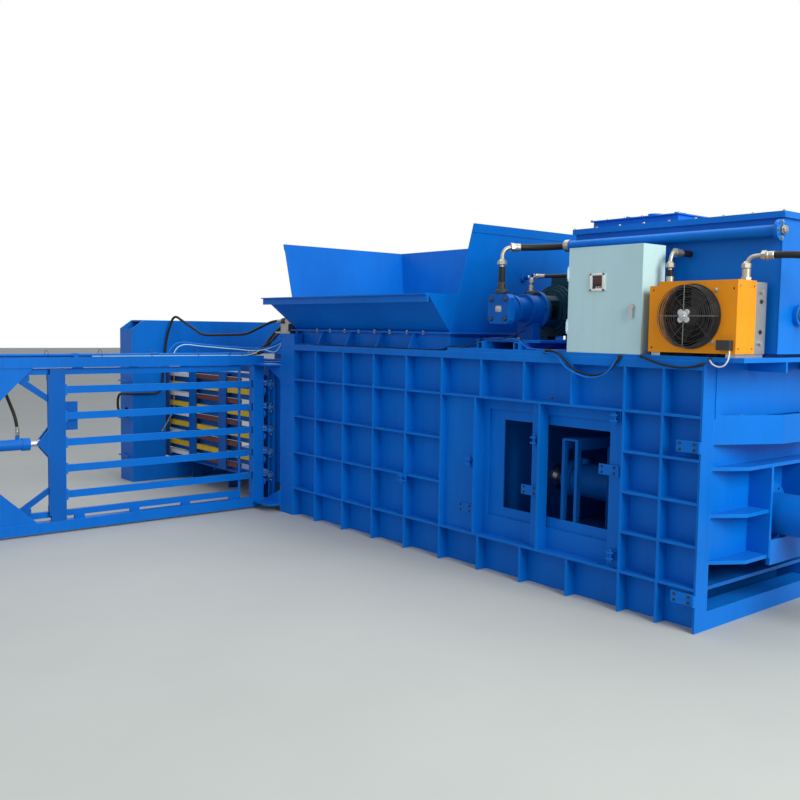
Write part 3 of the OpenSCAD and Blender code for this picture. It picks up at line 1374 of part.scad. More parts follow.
// Swing handle of the cabinet door with its shaft and cam
module cabinet_lock() {
  color("dimgray") {
    bar_y(lock_x, lock_z, -y_side - 22, cab_y0 + 10, 16);
    bar_y(lock_x, lock_z, -y_side - 26, -y_side - fit, 34);
    block([lock_x - 11, -y_side - 24, lock_z - 65], [lock_x + 11, -y_side - 10, lock_z]);
    block([lock_x - 9, cab_y0 + 2, lock_z - 9], [lock_x + 40, cab_y0 + 8, lock_z + 9]);
  }
}

// Oil cooler: hood with the fan opening, finned core behind it
hood_t = 6;
hood_y1 = -y_side + hood_d;
step_w = 60;
step_h = 24;
module cooler_hood() {
  y0 = -y_side;
  color("orange") difference() {
    xz_plate(y0, hood_d)
      polygon([[cooler_x0, cooler_z0], [cooler_x1, cooler_z0], [cooler_x1, cooler_z0 + cooler_h],
      [cooler_x0 + step_w, cooler_z0 + cooler_h], [cooler_x0 + step_w, cooler_z0 + cooler_h - step_h],
      [cooler_x0, cooler_z0 + cooler_h - step_h]]);
    block([cooler_x0 + hood_t, y0 + hood_t, cooler_z0 + hood_t],
      [cooler_x1 - hood_t, hood_y1 + 1, cooler_z0 + cooler_h - step_h - hood_t]);
    bar_y(fan_x, fan_z, y0 - 1, y0 + hood_t + 1, fan_d);
    for (x = [cooler_x0 + 24, cooler_x1 - 24], z = [cooler_z0 + 24, cooler_z0 + cooler_h - 48])
      bar_y(x, z, y0 - 1, y0 + hood_t + 1, 12);
  }
}

core_y1 = hood_y1 + 110;
module cooler_core() {
  color("silver") difference() {
    block([cooler_x0, hood_y1, cooler_z0], [cooler_x1, core_y1, cooler_z0 + cooler_h - 6]);
    for (k = [0 : 11]) block([cooler_x0 + 40, hood_y1 - 1, cooler_z0 + 24 + 30 * k],
      [cooler_x1 - 40, core_y1 + 1, cooler_z0 + 38 + 30 * k]);
  }
  color("black") for (z = [cooler_z0 + 60, cooler_z0 + cooler_h - 60])
    bar_x(hood_y1 + 50, z, cooler_x1, cooler_x1 + 14, 26);
  color(blue) for (x = [cooler_x0 + 10, cooler_x1 - 70])
    block([x, -y_side + 20, deck_z], [x + 60, core_y1, cooler_z0]);
}

hub_d = 96;
blade_n = 5;
rotor_y = -y_side + 42;
module cooler_fan() {
  color("black") {
    difference() {
      bar_y(fan_x, fan_z, rotor_y - 10, rotor_y + 40, hub_d);
      bar_y(fan_x, fan_z, rotor_y + 8, rotor_y + 41, 78);
    }
    bar_y(fan_x, fan_z, rotor_y + 7, rotor_y + 68, 16);
    for (k = [0 : blade_n - 1]) translate([fan_x, rotor_y, fan_z]) rotate([0, 360 * k / blade_n, 0])
      translate([0, 16, hub_d / 2 - 4]) rotate([0, 0, 28])
        translate([-38, -3, 0]) cube([76, 5, fan_d / 2 - hub_d / 2 - 10]);
  }
}

// Fan motor on its cross arms, the guard rings in front and the terminal box
module fan_motor() {
  y_back = -y_side + 140;
  color("black") {
    difference() {
      bar_y(fan_x, fan_z, rotor_y + 50, y_back, 74);
      bar_y(fan_x, fan_z, rotor_y + 49, rotor_y + 72, 16 + 2 * pin_fit);
    }
    for (z = [-1, 1]) block([cooler_x0 + hood_t, y_back - 8, fan_z + z * 22 - 9],
      [cooler_x1 - hood_t, y_back, fan_z + z * 22 + 9]);
    for (r = [50 : 30 : 140]) translate([fan_x, -y_side - 8, fan_z]) rotate([-90, 0, 0]) difference() {
      cylinder(r = r + 3, h = 6);
      translate([0, 0, -1]) cylinder(r = r, h = 8);
    }
    for (a = [45 : 90 : 315]) translate([fan_x, -y_side - 7, fan_z]) rotate([0, a, 0])
      translate([30, 0, -3]) cube([fan_d / 2 - 26, 6, 6]);
    difference() {
      bar_y(fan_x, fan_z, -y_side - 8, -y_side, fan_d + 20);
      bar_y(fan_x, fan_z, -y_side - 9, -y_side + 1, fan_d - 4);
    }
    bar_y(fan_x, fan_z, -y_side - 9, -y_side, 90);
    block([cooler_x1 - 95, -y_side - 40, cooler_z0 + 20], [cooler_x1 - 15, -y_side, cooler_z0 + 75]);
  }
}

// Round hoses: straight runs joined by bends, as one tube each
function unit(v) = v / norm(v);
function bend(a, b, c, r) = [for (t = [0 : 0.25 : 1])
  let (p = b + r * unit(a - b), q = b + r * unit(c - b))
    (1 - t) * (1 - t) * p + 2 * t * (1 - t) * b + t * t * q];
function route(p, r) = concat([p[0]],
  [for (i = [1 : len(p) - 2]) each bend(p[i - 1], p[i], p[i + 1], is_list(r) ? r[i - 1] : r)],
  [p[len(p) - 1]]);
function way(p, i) = unit(p[min(i + 1, len(p) - 1)] - p[max(i - 1, 0)]);
function carry(p, i, n) = i == len(p) ? [] :
  let (t = way(p, i), m = unit(n - (n * t) * t)) concat([m], carry(p, i + 1, m));
hose_sides = 10;
module tube(points, r, d) {
  p = route(points, r);
  n = len(p);
  m = hose_sides;
  first = unit(points[1] - points[0]);
  side = carry(p, 0, abs(first[0]) > 0.7 ? [0, 1, 0] : [1, 0, 0]);
  polyhedron(points = [for (i = [0 : n - 1], j = [0 : m - 1])
      p[i] + d / 2 * (cos(j * 360 / m) * side[i] + sin(j * 360 / m) * cross(way(p, i), side[i]))],
    faces = concat([[for (j = [0 : m - 1]) j]], [[for (j = [m - 1 : -1 : 0]) (n - 1) * m + j]],
      [for (i = [0 : n - 2], j = [0 : m - 1]) [i * m + j, i * m + m + j, i * m + (j + 1) % m]],
      [for (i = [0 : n - 2], j = [0 : m - 1])
        [i * m + (j + 1) % m, i * m + m + j, i * m + m + (j + 1) % m]]));
}

suction_d = 38;
line_d = 26;
pipe_size = 22;
hose_foot = 18;
pump_port = [pump_x, pump_y0 + 27, port_z + hose_foot];
case_port = [pump_x, bell_y0 - 50, port_z + hose_foot];
out_port = [cooler_x1 - 25, -y_side + 120, cooler_z0 + cooler_h + hose_foot];
in_port = [cooler_x0 + 29, -y_side + 150, cooler_z0 + cooler_h - step_h + hose_foot];
pump_hose = [pump_port, [pump_x, pump_port[1], pipe_z - 10], [pump_x + 160, pipe_y, pipe_z],
  [pipe_x0 - fit, pipe_y, pipe_z]];
case_hose = [case_port, case_port + [0, 0, 104], [tank_x0 - 180, tank_y0 + 30, case_port[2] + 104],
  [tank_x0 - fit, tank_y0 + 30, case_port[2] + 104]];
cooler_out = [out_port, out_port + [0, 0, 112], out_port + [320, 30, 112],
  [tank_x1 + 305, tank_y0 + 100, outlet[2] + 270], [tank_x1 + 305, outlet[1], outlet[2]],
  outlet + [fit, 0, 0]];
cooler_in = [in_port, in_port + [0, 0, 187], [in_port[0], tank_y0 - fit, in_port[2] + 187]];

// Supply of the squeeze cylinders: out of the near cap, round the leg, over the channel to the valves
valve_in = x_front - 290 - fit;
squeeze_hose = [[portal_x, -sq_y1 - fit, squeeze_z], [portal_x, -leg_y1 - 102, squeeze_z],
  [portal_x + 10, -leg_y1 - 102, squeeze_z + 222], [channel_x0 + 43, -leg_y1 - 80, squeeze_z + 222],
  [channel_x0 + 43, -leg_y0 - 70, squeeze_z + 217], [channel_x0 + 45, -leg_y0 - 10, portal_h - 190],
  [channel_x0 + 100, -y_side, portal_h + 65], [x_front - 1595, -y_side + 50, portal_h - 150],
  [x_front - 885, -y_side + 150, portal_h - 130], [x_front - 455, valve_y - 75, valve_z + 100],
  [valve_in, valve_y - 75, valve_z + 100]];

// Supply of the needle cylinder: port to pipe, pipe to valves, and the return
needle_port = [needle_cyl_x, gland_y - 90, needle_cyl_z + needle_cyl_d / 2 + 26 + fit];
pipe_spot = [frame_x0 + 25, end_post_y0 - 30, needle_top + 16];
needle_hose = [needle_port, needle_port + [0, 0, 114], [frame_x0 - 95, needle_port[1] - 65, 1200],
  [frame_x0 - 95, outer_post_y + 215, pipe_spot[2]], [frame_x0 + 14 - fit, outer_post_y + 215, pipe_spot[2]]];
feed_hose = [pipe_spot + [0, fit, 0], [pipe_spot[0], -y_side - 30, pipe_spot[2]],
  [frame_x0 - 25, -y_side + 150, valve_z - 15], [frame_x0 - 45, valve_y + 75, valve_z + 100],
  [valve_in, valve_y + 75, valve_z + 100]];
return_hose = [pipe_spot + [35, fit, 0], [pipe_spot[0] + 35, -y_side - 20, pipe_spot[2]],
  [frame_x0 + 15, valve_y - 140, valve_z - 55], [frame_x0 + 15, valve_y, valve_z + 37],
  [x_front - 200 - fit, valve_y, valve_z + 37]];
module hoses() {
  color("black") {
    tube(pump_hose, [70, 100], suction_d + 8);
    tube(case_hose, [50, 100], line_d);
    tube(cooler_out, [60, 150, 125, 150], suction_d);
    tube(cooler_in, 60, suction_d);
    tube(squeeze_hose, 96, line_d);
    tube(needle_hose, 100, line_d);
    tube(feed_hose, 100, line_d);
    tube(return_hose, 70, pipe_size);
  }
}

// Screwed hose ends: a hexagon nut and a crimped sleeve at a point, along an axis
module hose_end(p, turn, d) {
  translate(p) rotate(turn) {
    translate([0, 0, -32]) cylinder(d = d + 22, h = 16, $fn = 6);
    translate([0, 0, -16]) difference() {
      cylinder(d = d + 8, h = 46, $fn = 24);
      translate([0, 0, 1]) cylinder(d = d + 2 * fit, h = 60, $fn = 24);
    }
  }
}

module hose_fittings() {
  color(steel) {
    hose_end(pump_port + [0, 0, 14], 0, suction_d + 8);
    hose_end(case_port + [0, 0, 14], 0, line_d);
    hose_end(out_port + [0, 0, 14], 0, suction_d);
    hose_end(in_port + [0, 0, 14], 0, suction_d);
  }
}

near_wall();
far_wall();
chamber_floor();
chamber_roof();
power_deck();
rear_head();
hopper();
fixed_knife();
main_cylinder();
cylinder_bulkhead();
ram_body();
ram_knife();
ram_shoes();
main_rod();
main_piston();
guard_fittings();
valve_block();
needle_frame();
needle_carriage();
needles();
needle_cylinder();
needle_rod();
guide_column();
guide_wheel_1();
guide_wheel_2();
guide_wheel_3();
guide_wheel_4();
guide_wheel_5();
twister_frame();
twist_hook_1();
twist_hook_2();
twist_hook_3();
twist_hook_4();
twist_hook_5();
squeeze_portal();
channel_bed();
near_side();
far_side();
near_side_bars();
far_side_bars();
wire_strips();
squeeze_cylinders();
near_squeeze_rod();
far_squeeze_rod();
oil_tank();
tank_lid();
return_pipe();
motor();
bell_housing();
pump();
drive_coupling();
control_cabinet();
cabinet_door();
cabinet_lock();
cooler_hood();
cooler_core();
cooler_fan();
fan_motor();
hoses();
hose_fittings();
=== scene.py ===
# Recycling baler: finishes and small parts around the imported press, metres, press frame.
import bpy
import bmesh
import json
import math
from mathutils import Matrix, Vector


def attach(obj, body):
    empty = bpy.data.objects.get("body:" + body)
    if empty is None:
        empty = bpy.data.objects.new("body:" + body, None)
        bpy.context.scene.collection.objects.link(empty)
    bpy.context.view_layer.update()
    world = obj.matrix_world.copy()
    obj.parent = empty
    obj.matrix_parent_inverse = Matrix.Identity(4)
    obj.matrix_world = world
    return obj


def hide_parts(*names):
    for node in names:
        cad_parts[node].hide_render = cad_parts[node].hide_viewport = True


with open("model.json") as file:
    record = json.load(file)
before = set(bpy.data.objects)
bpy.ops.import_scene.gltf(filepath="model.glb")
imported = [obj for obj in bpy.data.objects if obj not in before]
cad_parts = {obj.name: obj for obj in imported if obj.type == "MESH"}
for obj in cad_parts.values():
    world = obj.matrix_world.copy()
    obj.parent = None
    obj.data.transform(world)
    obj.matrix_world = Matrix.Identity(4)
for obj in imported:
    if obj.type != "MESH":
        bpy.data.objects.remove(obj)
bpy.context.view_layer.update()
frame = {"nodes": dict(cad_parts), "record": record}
scene = bpy.context.scene
camera = dict(place=(5.013, -5.318, 1.700), turn=50.165, down=4.4125, roll=0.885, lens=41.58,
              sensor=36.0, farClip=200)


def added(name, data):
    obj = bpy.data.objects.new(name, data)
    scene.collection.objects.link(obj)
    return obj


def makeCamera(c):
    turn, down, roll = (math.radians(c[k]) for k in ("turn", "down", "roll"))
    level = math.cos(down)
    ahead = Vector((-math.sin(turn) * level, math.cos(turn) * level, -math.sin(down)))
    right = Vector((math.cos(turn), math.sin(turn), 0))
    up = right.cross(ahead)
    side = right * math.cos(roll) + up * math.sin(roll)
    top = up * math.cos(roll) - right * math.sin(roll)
    data = bpy.data.cameras.new("photoCamera")
    data.lens = c["lens"]
    data.sensor_width = c["sensor"]
    data.clip_end = c["farClip"]
    cam = added("photoCamera", data)
    turned = Matrix((side, top, -ahead)).transposed().to_4x4()
    cam.matrix_world = Matrix.Translation(c["place"]) @ turned
    scene.camera = cam


makeCamera(camera)
print("camera set")


# material nodes
def newFinish(name):
    mat = bpy.data.materials.new(name)
    mat.use_nodes = True
    tree = mat.node_tree
    tree.nodes.clear()
    out = tree.nodes.new("ShaderNodeOutputMaterial")
    shader = tree.nodes.new("ShaderNodeBsdfPrincipled")
    tree.links.new(shader.outputs[0], out.inputs["Surface"])
    return mat, tree, shader


def feed(tree, socket, value):
    if isinstance(value, bpy.types.NodeSocket):
        tree.links.new(value, socket)
    else:
        socket.default_value = value


def put(tree, kind, **values):
    node = tree.nodes.new(kind if "Node" in kind else "ShaderNode" + kind)
    for key, value in values.items():
        label = key.replace("_", " ")
        if label in node.inputs:
            feed(tree, node.inputs[label], value)
        else:
            setattr(node, key, value)
    return node


def objectCoords(tree, stretch=(1, 1, 1)):
    coords = put(tree, "TexCoord")
    return coords, put(tree, "Mapping", Scale=stretch, Vector=coords.outputs["Object"]).outputs[0]


def noise(tree, where, scale, detail=4.0, rough=0.55):
    node = put(tree, "TexNoise", Vector=where, Scale=scale, Detail=detail, Roughness=rough)
    return node.outputs["Fac"]


def remap(tree, value, low, high, a, b):
    node = put(tree, "MapRange", Value=value, From_Min=low, From_Max=high, To_Min=a, To_Max=b)
    return node.outputs["Result"]


def calc(tree, operation, *terms, clamp=False):
    node = put(tree, "Math", operation=operation, use_clamp=clamp)
    for socket, term in zip(node.inputs, terms):
        feed(tree, socket, term)
    return node.outputs[0]


def mixColour(tree, amount, a, b):
    node = put(tree, "Mix", data_type="RGBA", Factor=amount)
    for socket, value in ((node.inputs[6], a), (node.inputs[7], b)):
        feed(tree, socket, (*value, 1) if isinstance(value, tuple) else value)
    return node.outputs[2]


# edge mask from the bevel normal; it lays a painted highlight along edges
def edgeHighlightMask(tree, radius):
    bevel = put(tree, "Bevel", samples=4, Radius=radius)
    geometry = put(tree, "NewGeometry")
    dot = put(tree, "VectorMath", operation="DOT_PRODUCT")
    tree.links.new(bevel.outputs[0], dot.inputs[0])
    tree.links.new(geometry.outputs["Normal"], dot.inputs[1])
    return remap(tree, dot.outputs["Value"], 0.99, 0.82, 0.0, 1.0)


def bumps(tree, shader, layers):
    previous = None
    for height, strength, distance in layers:
        node = put(tree, "Bump", Height=height, Strength=strength, Distance=distance)
        if previous:
            tree.links.new(previous, node.inputs["Normal"])
        previous = node.outputs[0]
    tree.links.new(previous, shader.inputs["Normal"])


def enamel(name, look):
    mat, tree, shader = newFinish(name)
    coords, where = objectCoords(tree)
    broad = remap(tree, noise(tree, where, look["patch"], 3), 0.35, 0.65, 0, 1)
    colour = mixColour(tree, broad, look["colour"], look["shade"])
    runs = noise(tree, objectCoords(tree, (6, 6, 0.7))[1], 2.2, 5)  # faint upright runs
    colour = mixColour(tree, remap(tree, runs, 0.5, 0.8, 0, look["streak"]), colour, look["dark"])
    # upward faces turn towards the dust colour: dust, partly a painted sheen on top faces
    facing = put(tree, "SeparateXYZ")
    tree.links.new(coords.outputs["Normal"], facing.inputs[0])
    upward = remap(tree, facing.outputs["Z"], 0.4, 0.9, 0, look["dustAndSheen"])
    patches = remap(tree, noise(tree, where, 9, 6, 0.7), 0.35, 0.75, 0.2, 1)
    dustAndSheenMask = calc(tree, "MULTIPLY", upward, patches, clamp=True)
    colour = mixColour(tree, dustAndSheenMask, colour, look["dustAndSheenColour"])
    # painted highlight: edges lighten towards a brighter tint of the paint
    edgeHighlight = calc(tree, "MULTIPLY", edgeHighlightMask(tree, look["edgeWidth"]), look["edge"], clamp=True)
    colour = mixColour(tree, edgeHighlight, colour, look["edgeColour"])
    tree.links.new(colour, shader.inputs["Base Color"])
    gloss = remap(tree, noise(tree, where, 70, 5), 0.3, 0.7, look["gloss"], look["gloss"] + 0.16)
    tree.links.new(gloss, shader.inputs["Roughness"])
    shader.inputs["Coat Weight"].default_value = look["coat"]
    shader.inputs["Coat Roughness"].default_value = 0.18
    shader.inputs["Specular IOR Level"].default_value = look["shine"]
    bumps(tree, shader, [(noise(tree, where, 3.2, 2), look["wave"], 0.02),
                         (noise(tree, where, 260, 2), look["peel"], 0.0006)])
    return mat


def bareMetal(name, look):
    mat, tree, shader = newFinish(name)
    grain = noise(tree, objectCoords(tree, look["grain"])[1], 60, 6, 0.65)
    blotch = noise(tree, objectCoords(tree)[1], look["patch"], 4)
    colour = mixColour(tree, remap(tree, blotch, 0.35, 0.7, 0, 1), look["colour"], look["shade"])
    colour = mixColour(tree, remap(tree, grain, 0.45, 0.7, 0, 0.5), colour, look["dark"])
    tree.links.new(colour, shader.inputs["Base Color"])
    shader.inputs["Metallic"].default_value = look["metal"]
    gloss = remap(tree, grain, 0.3, 0.7, look["gloss"], look["gloss"] + 0.2)
    tree.links.new(gloss, shader.inputs["Roughness"])
    bumps(tree, shader, [(grain, look["bump"], 0.0008)])
    return mat


def softSolid(name, look):
    mat, tree, shader = newFinish(name)
    where = objectCoords(tree)[1]
    grain = noise(tree, where, look["grain"], 4, 0.6)
    blotch = noise(tree, where, 6, 4)
    colour = mixColour(tree, remap(tree, blotch, 0.35, 0.7, 0, 1), look["colour"], look["shade"])
    tree.links.new(colour, shader.inputs["Base Color"])
    gloss = remap(tree, grain, 0.3, 0.7, look["gloss"], look["gloss"] + 0.15)
    tree.links.new(gloss, shader.inputs["Roughness"])
    shader.inputs["Specular IOR Level"].default_value = look.get("shine", 0.4)
    bumps(tree, shader, [(grain, look["bump"], 0.0006)])
    return mat


# the edge colours below are painted edge highlights, brighter tints of each paint
blueLook = dict(colour=(0.0, 0.155, 0.640), shade=(0.0, 0.125, 0.540), dark=(0.0, 0.070, 0.320),
                # the blue's dust colour, a lighter teal, is dust together with a painted sheen on top
                # faces
                dustAndSheenColour=(0.06, 0.24, 0.55), edgeColour=(0.01, 0.36, 0.90), edgeWidth=0.004, edge=0.5,
                streak=0.22, dustAndSheen=0.12, patch=0.9, gloss=0.34, coat=0.0, wave=0.08, peel=0.2, shine=0.15)
deepLook = dict(blueLook, colour=(0.0, 0.110, 0.480), shade=(0.0, 0.085, 0.390))
greyLook = dict(blueLook, colour=(0.470, 0.670, 0.730), shade=(0.420, 0.610, 0.670),
                dark=(0.32, 0.45, 0.50), dustAndSheenColour=(0.54, 0.60, 0.60), edgeColour=(0.70, 0.80, 0.84),
                edgeWidth=0.002, edge=0.35, streak=0.18, gloss=0.42, wave=0.05, peel=0.45)
orangeLook = dict(blueLook, colour=(0.830, 0.300, 0.006), shade=(0.720, 0.240, 0.005),
                  dark=(0.42, 0.15, 0.01), dustAndSheenColour=(0.55, 0.42, 0.25), edgeColour=(0.95, 0.52, 0.10),
                  edgeWidth=0.002, streak=0.2, gloss=0.36, coat=0.1)
yellowLook = dict(blueLook, colour=(0.780, 0.520, 0.020), shade=(0.680, 0.430, 0.020),
                  dark=(0.35, 0.22, 0.02), dustAndSheenColour=(0.45, 0.40, 0.28), edgeColour=(0.85, 0.68, 0.20),
                  streak=0.4, gloss=0.40)
tealLook = dict(blueLook, colour=(0.012, 0.060, 0.085), shade=(0.009, 0.045, 0.066),
                dark=(0.004, 0.018, 0.028), edgeColour=(0.05, 0.16, 0.20))
metalLooks = {
    "tool_steel": dict(colour=(0.30, 0.31, 0.33), shade=(0.22, 0.22, 0.24), dark=(0.12, 0.12, 0.12),
                       metal=0.9, grain=(1, 12, 1), patch=8, gloss=0.32, bump=0.4),
    "bright_steel": dict(colour=(0.62, 0.63, 0.65), shade=(0.50, 0.51, 0.53), dark=(0.32, 0.32, 0.33),
                         metal=1.0, grain=(14, 1, 1), patch=5, gloss=0.16, bump=0.2),
    "piston_iron": dict(colour=(0.20, 0.20, 0.21), shade=(0.15, 0.15, 0.16), dark=(0.08, 0.08, 0.08),
                        metal=0.9, grain=(1, 1, 1), patch=10, gloss=0.4, bump=0.5),
    "bronze": dict(colour=(0.52, 0.33, 0.12), shade=(0.40, 0.24, 0.09), dark=(0.20, 0.12, 0.05),
                   metal=1.0, grain=(1, 8, 8), patch=8, gloss=0.3, bump=0.3),
    "zinc_plate": dict(colour=(0.42, 0.40, 0.36), shade=(0.32, 0.31, 0.28), dark=(0.18, 0.17, 0.15),
                       metal=1.0, grain=(3, 3, 3), patch=18, gloss=0.36, bump=0.3),
    "fin_aluminium": dict(colour=(0.50, 0.51, 0.52), shade=(0.40, 0.41, 0.42), dark=(0.22, 0.22, 0.22),
                          metal=0.9, grain=(2, 2, 14), patch=12, gloss=0.35, bump=0.3),
}
softLooks = {
    "nylon": dict(colour=(0.78, 0.77, 0.72), shade=(0.66, 0.65, 0.60), grain=120, gloss=0.45, bump=0.2),
    "black_plastic": dict(colour=(0.018, 0.018, 0.020), shade=(0.028, 0.028, 0.030), grain=300,
                          gloss=0.38, bump=0.3),
    "hose_rubber": dict(colour=(0.006, 0.006, 0.007), shade=(0.011, 0.011, 0.011), grain=220,
                        gloss=0.46, bump=0.35, shine=0.25),
}
stripLook = dict(colour=(0.80, 0.79, 0.74), shade=(0.70, 0.69, 0.64), grain=90, gloss=0.45, bump=0.15)
stripBrown = dict(colour=(0.115, 0.022, 0.012), start=-3.894, end=-3.893)
screenLook = dict(colour=(0.060, 0.016, 0.010), shade=(0.035, 0.010, 0.008), grain=90, gloss=0.18,
                  bump=0.05)
finishes = {
    "blue_paint": enamel("bluePaint", blueLook),
    "deep_blue_paint": enamel("deepBluePaint", deepLook),
    "grey_paint": enamel("greyPaint", greyLook),
    "orange_paint": enamel("orangePaint", orangeLook),
    "yellow_paint": enamel("yellowPaint", yellowLook),
}
for slot, look in metalLooks.items():
    finishes[slot] = bareMetal(slot.replace("_", "") + "Metal", look)
for slot, look in softLooks.items():
    finishes[slot] = softSolid(slot.replace("_", "") + "Solid", look)
slotOf = {s["node"]: s["material_slot"] for s in frame["record"]["subparts"]}
for node, obj in frame["nodes"].items():
    obj.data.materials.clear()
    obj.data.materials.append(finishes[slotOf[node]])
tealFinish = enamel("motorPaint", tealLook)
for node in ("motor", "bell_housing"):
    frame["nodes"][node].data.materials[0] = tealFinish


def stripFinish():
    mat = softSolid("wireStripPaint", stripLook)
    tree = mat.node_tree
    shader = next(n for n in tree.nodes if n.type == "BSDF_PRINCIPLED")
    pale = shader.inputs["Base Color"].links[0].from_socket
    across = put(tree, "SeparateXYZ")
    tree.links.new(objectCoords(tree)[1], across.inputs[0])
    # brown from the second strap on
    brown = remap(tree, across.outputs["X"], stripBrown["start"], stripBrown["end"], 0, 1)
    mixed = mixColour(tree, brown, pale, stripBrown["colour"])
    tree.links.new(mixed, shader.inputs["Base Color"])
    return mat


frame["nodes"]["wire_strips"].data.materials[0] = stripFinish()
frame["nodes"]["cabinet_lock"].data.materials[0] = finishes["fin_aluminium"]
print("finishes set on", len(frame["nodes"]), "nodes")

floorDress = dict(colour=(0.46, 0.48, 0.47), darker=0.94, reach=60, height=-0.001)
lamps = [
    dict(name="keyLight", place=(9.5, -1.5, 5.5), target=(0, 0, 1.0), size=5.0, power=960,
         colour=(1.0, 1.0, 0.88)),
    dict(name="fillLight", place=(1.0, -9.0, 5.0), target=(0, 0, 0.8), size=6.0, power=120),
    dict(name="topLight", place=(-1.0, 1.0, 8.0), target=(-0.5, 0, 0), size=7.0, power=330),
]
sky = dict(colour=(0.84, 0.90, 1.0, 1), strength=0.44, backdrop=(1, 1, 1, 1))


def makeFloor(d):
    reach, z, colour = d["reach"], d["height"], d["colour"]
    corners = [(-reach, -reach, z), (reach, -reach, z), (reach, reach, z), (-reach, reach, z)]
    mesh = bpy.data.meshes.new("floor")
    mesh.from_pydata(corners, [], [(0, 1, 2, 3)])
    obj = added("floor", mesh)
    mat, tree, shader = newFinish("floorFinish")
    shade = tuple(c * d["darker"] for c in colour)
    soft = remap(tree, noise(tree, objectCoords(tree)[1], 0.8, 5), 0.3, 0.7, 0, 1)
    tree.links.new(mixColour(tree, soft, colour, shade), shader.inputs["Base Color"])
    shader.inputs["Roughness"].default_value = 0.7
    mesh.materials.append(mat)


def areaLight(name, place, target, size, power, colour=(1, 1, 1)):
    data = bpy.data.lights.new(name, "AREA")
    data.color = colour
    data.shape = "SQUARE"
    data.size = size
    data.energy = power
    light = added(name, data)
    light.location = place
    light.rotation_mode = "QUATERNION"
    light.rotation_quaternion = (Vector(target) - Vector(place)).to_track_quat("-Z", "Y")


def makeSky(d):
    world = bpy.data.worlds.new("studioWorld")
    scene.world = world
    world.use_nodes = True
    tree = world.node_tree
    ambient = tree.nodes["Background"]
    ambient.inputs["Color"].default_value = d["colour"]
    ambient.inputs["Strength"].default_value = d["strength"]
    backdrop = put(tree, "Background", Color=d["backdrop"])
    rays = put(tree, "LightPath")
    # white where the camera, a reflection or glass sees the sky
    kinds = ("Camera", "Glossy", "Transmission")
    direct, mirrored, through = (rays.outputs["Is %s Ray" % kind] for kind in kinds)
    seen = calc(tree, "MAXIMUM", calc(tree, "MAXIMUM", direct, mirrored), through)
    chooser = put(tree, "MixShader")
    for socket, source in zip(chooser.inputs, (seen, ambient.outputs[0], backdrop.outputs[0])):
        tree.links.new(source, socket)
    tree.links.new(chooser.outputs[0], tree.nodes["World Output"].inputs["Surface"])


makeFloor(floorDress)
for lamp in lamps:
    areaLight(**lamp)
makeSky(sky)
scene.view_settings.view_transform = "Standard"
print("stage and lights set")


# geometry nodes: what repeats or follows a line
def newTree(name, inputs):
    tree = bpy.data.node_groups.new(name, "GeometryNodeTree")
    tree.interface.new_socket("Geometry", in_out="INPUT", socket_type="NodeSocketGeometry")
    for label, kind in inputs + [("Finish", "Material")]:
        tree.interface.new_socket(label, in_out="INPUT", socket_type="NodeSocket" + kind)
    tree.interface.new_socket("Geometry", in_out="OUTPUT", socket_type="NodeSocketGeometry")
    return tree, tree.nodes.new("NodeGroupInput"), tree.nodes.new("NodeGroupOutput")


def step(tree, kind, **values):
    return put(tree, kind if "Node" in kind else "GeometryNode" + kind, **values)


def ringOf(tree, sides, radius):
    return step(tree, "CurvePrimitiveCircle", Resolution=sides, Radius=radius).outputs[0]


def spunBy(tree, rotation, angle):
    twist = step(tree, "FunctionNodeAxisAngleToRotation", Axis=(0, 0, 1), Angle=angle)
    return step(tree, "FunctionNodeRotateRotation", rotation_space="LOCAL", Rotation=rotation,
                Rotate_By=twist.outputs[0]).outputs[0]


def marksAlong(tree, given, spacing):
    path = step(tree, "MeshToCurve", Mesh=given.outputs["Geometry"])
    return step(tree, "CurveToPoints", mode="LENGTH", Curve=path.outputs[0],
                Length=given.outputs[spacing])


def closeTree(tree, given, leave, shape, smooth):
    real = step(tree, "RealizeInstances", Geometry=shape)
    shaded = step(tree, "SetShadeSmooth", Shade_Smooth=smooth,
                  Geometry=real.outputs[0])
    final = step(tree, "SetMaterial", Geometry=shaded.outputs[0],
                 Material=given.outputs["Finish"])
    tree.links.new(final.outputs[0], leave.inputs[0])


def boltTree():
    washerDepth = 0.004
    tree, given, leave = newTree("boltHeads", [("Head Radius", "Float"), ("Head Height", "Float"),
                                               ("Washer Radius", "Float"), ("Seed", "Int")])
    head = step(tree, "MeshCylinder", Vertices=6, Radius=given.outputs["Head Radius"],
                Depth=given.outputs["Head Height"])
    middle = calc(tree, "MULTIPLY_ADD", given.outputs["Head Height"], 0.5, washerDepth / 2)
    lift = step(tree, "ShaderNodeCombineXYZ", Z=middle)
    raised = step(tree, "Transform", Geometry=head.outputs["Mesh"],
                  Translation=lift.outputs[0])
    washer = step(tree, "MeshCylinder", Vertices=18, Depth=washerDepth,
                  Radius=given.outputs["Washer Radius"])
    both = tree.nodes.new("GeometryNodeJoinGeometry")
    for part in (raised.outputs[0], washer.outputs["Mesh"]):
        tree.links.new(part, both.inputs[0])
    facing = step(tree, "InputNamedAttribute", data_type="FLOAT_VECTOR", Name="facing")
    aim = step(tree, "FunctionNodeAlignRotationToVector", axis="Z", Vector=facing.outputs[0])
    chance = step(tree, "FunctionNodeRandomValue", data_type="FLOAT", Seed=given.outputs["Seed"])
    chance.inputs[3].default_value = math.pi
    turned = spunBy(tree, aim.outputs[0], chance.outputs[1])
    placed = step(tree, "InstanceOnPoints", Points=given.outputs["Geometry"],
                  Instance=both.outputs[0], Rotation=turned)
    closeTree(tree, given, leave, placed.outputs[0], False)
    return tree


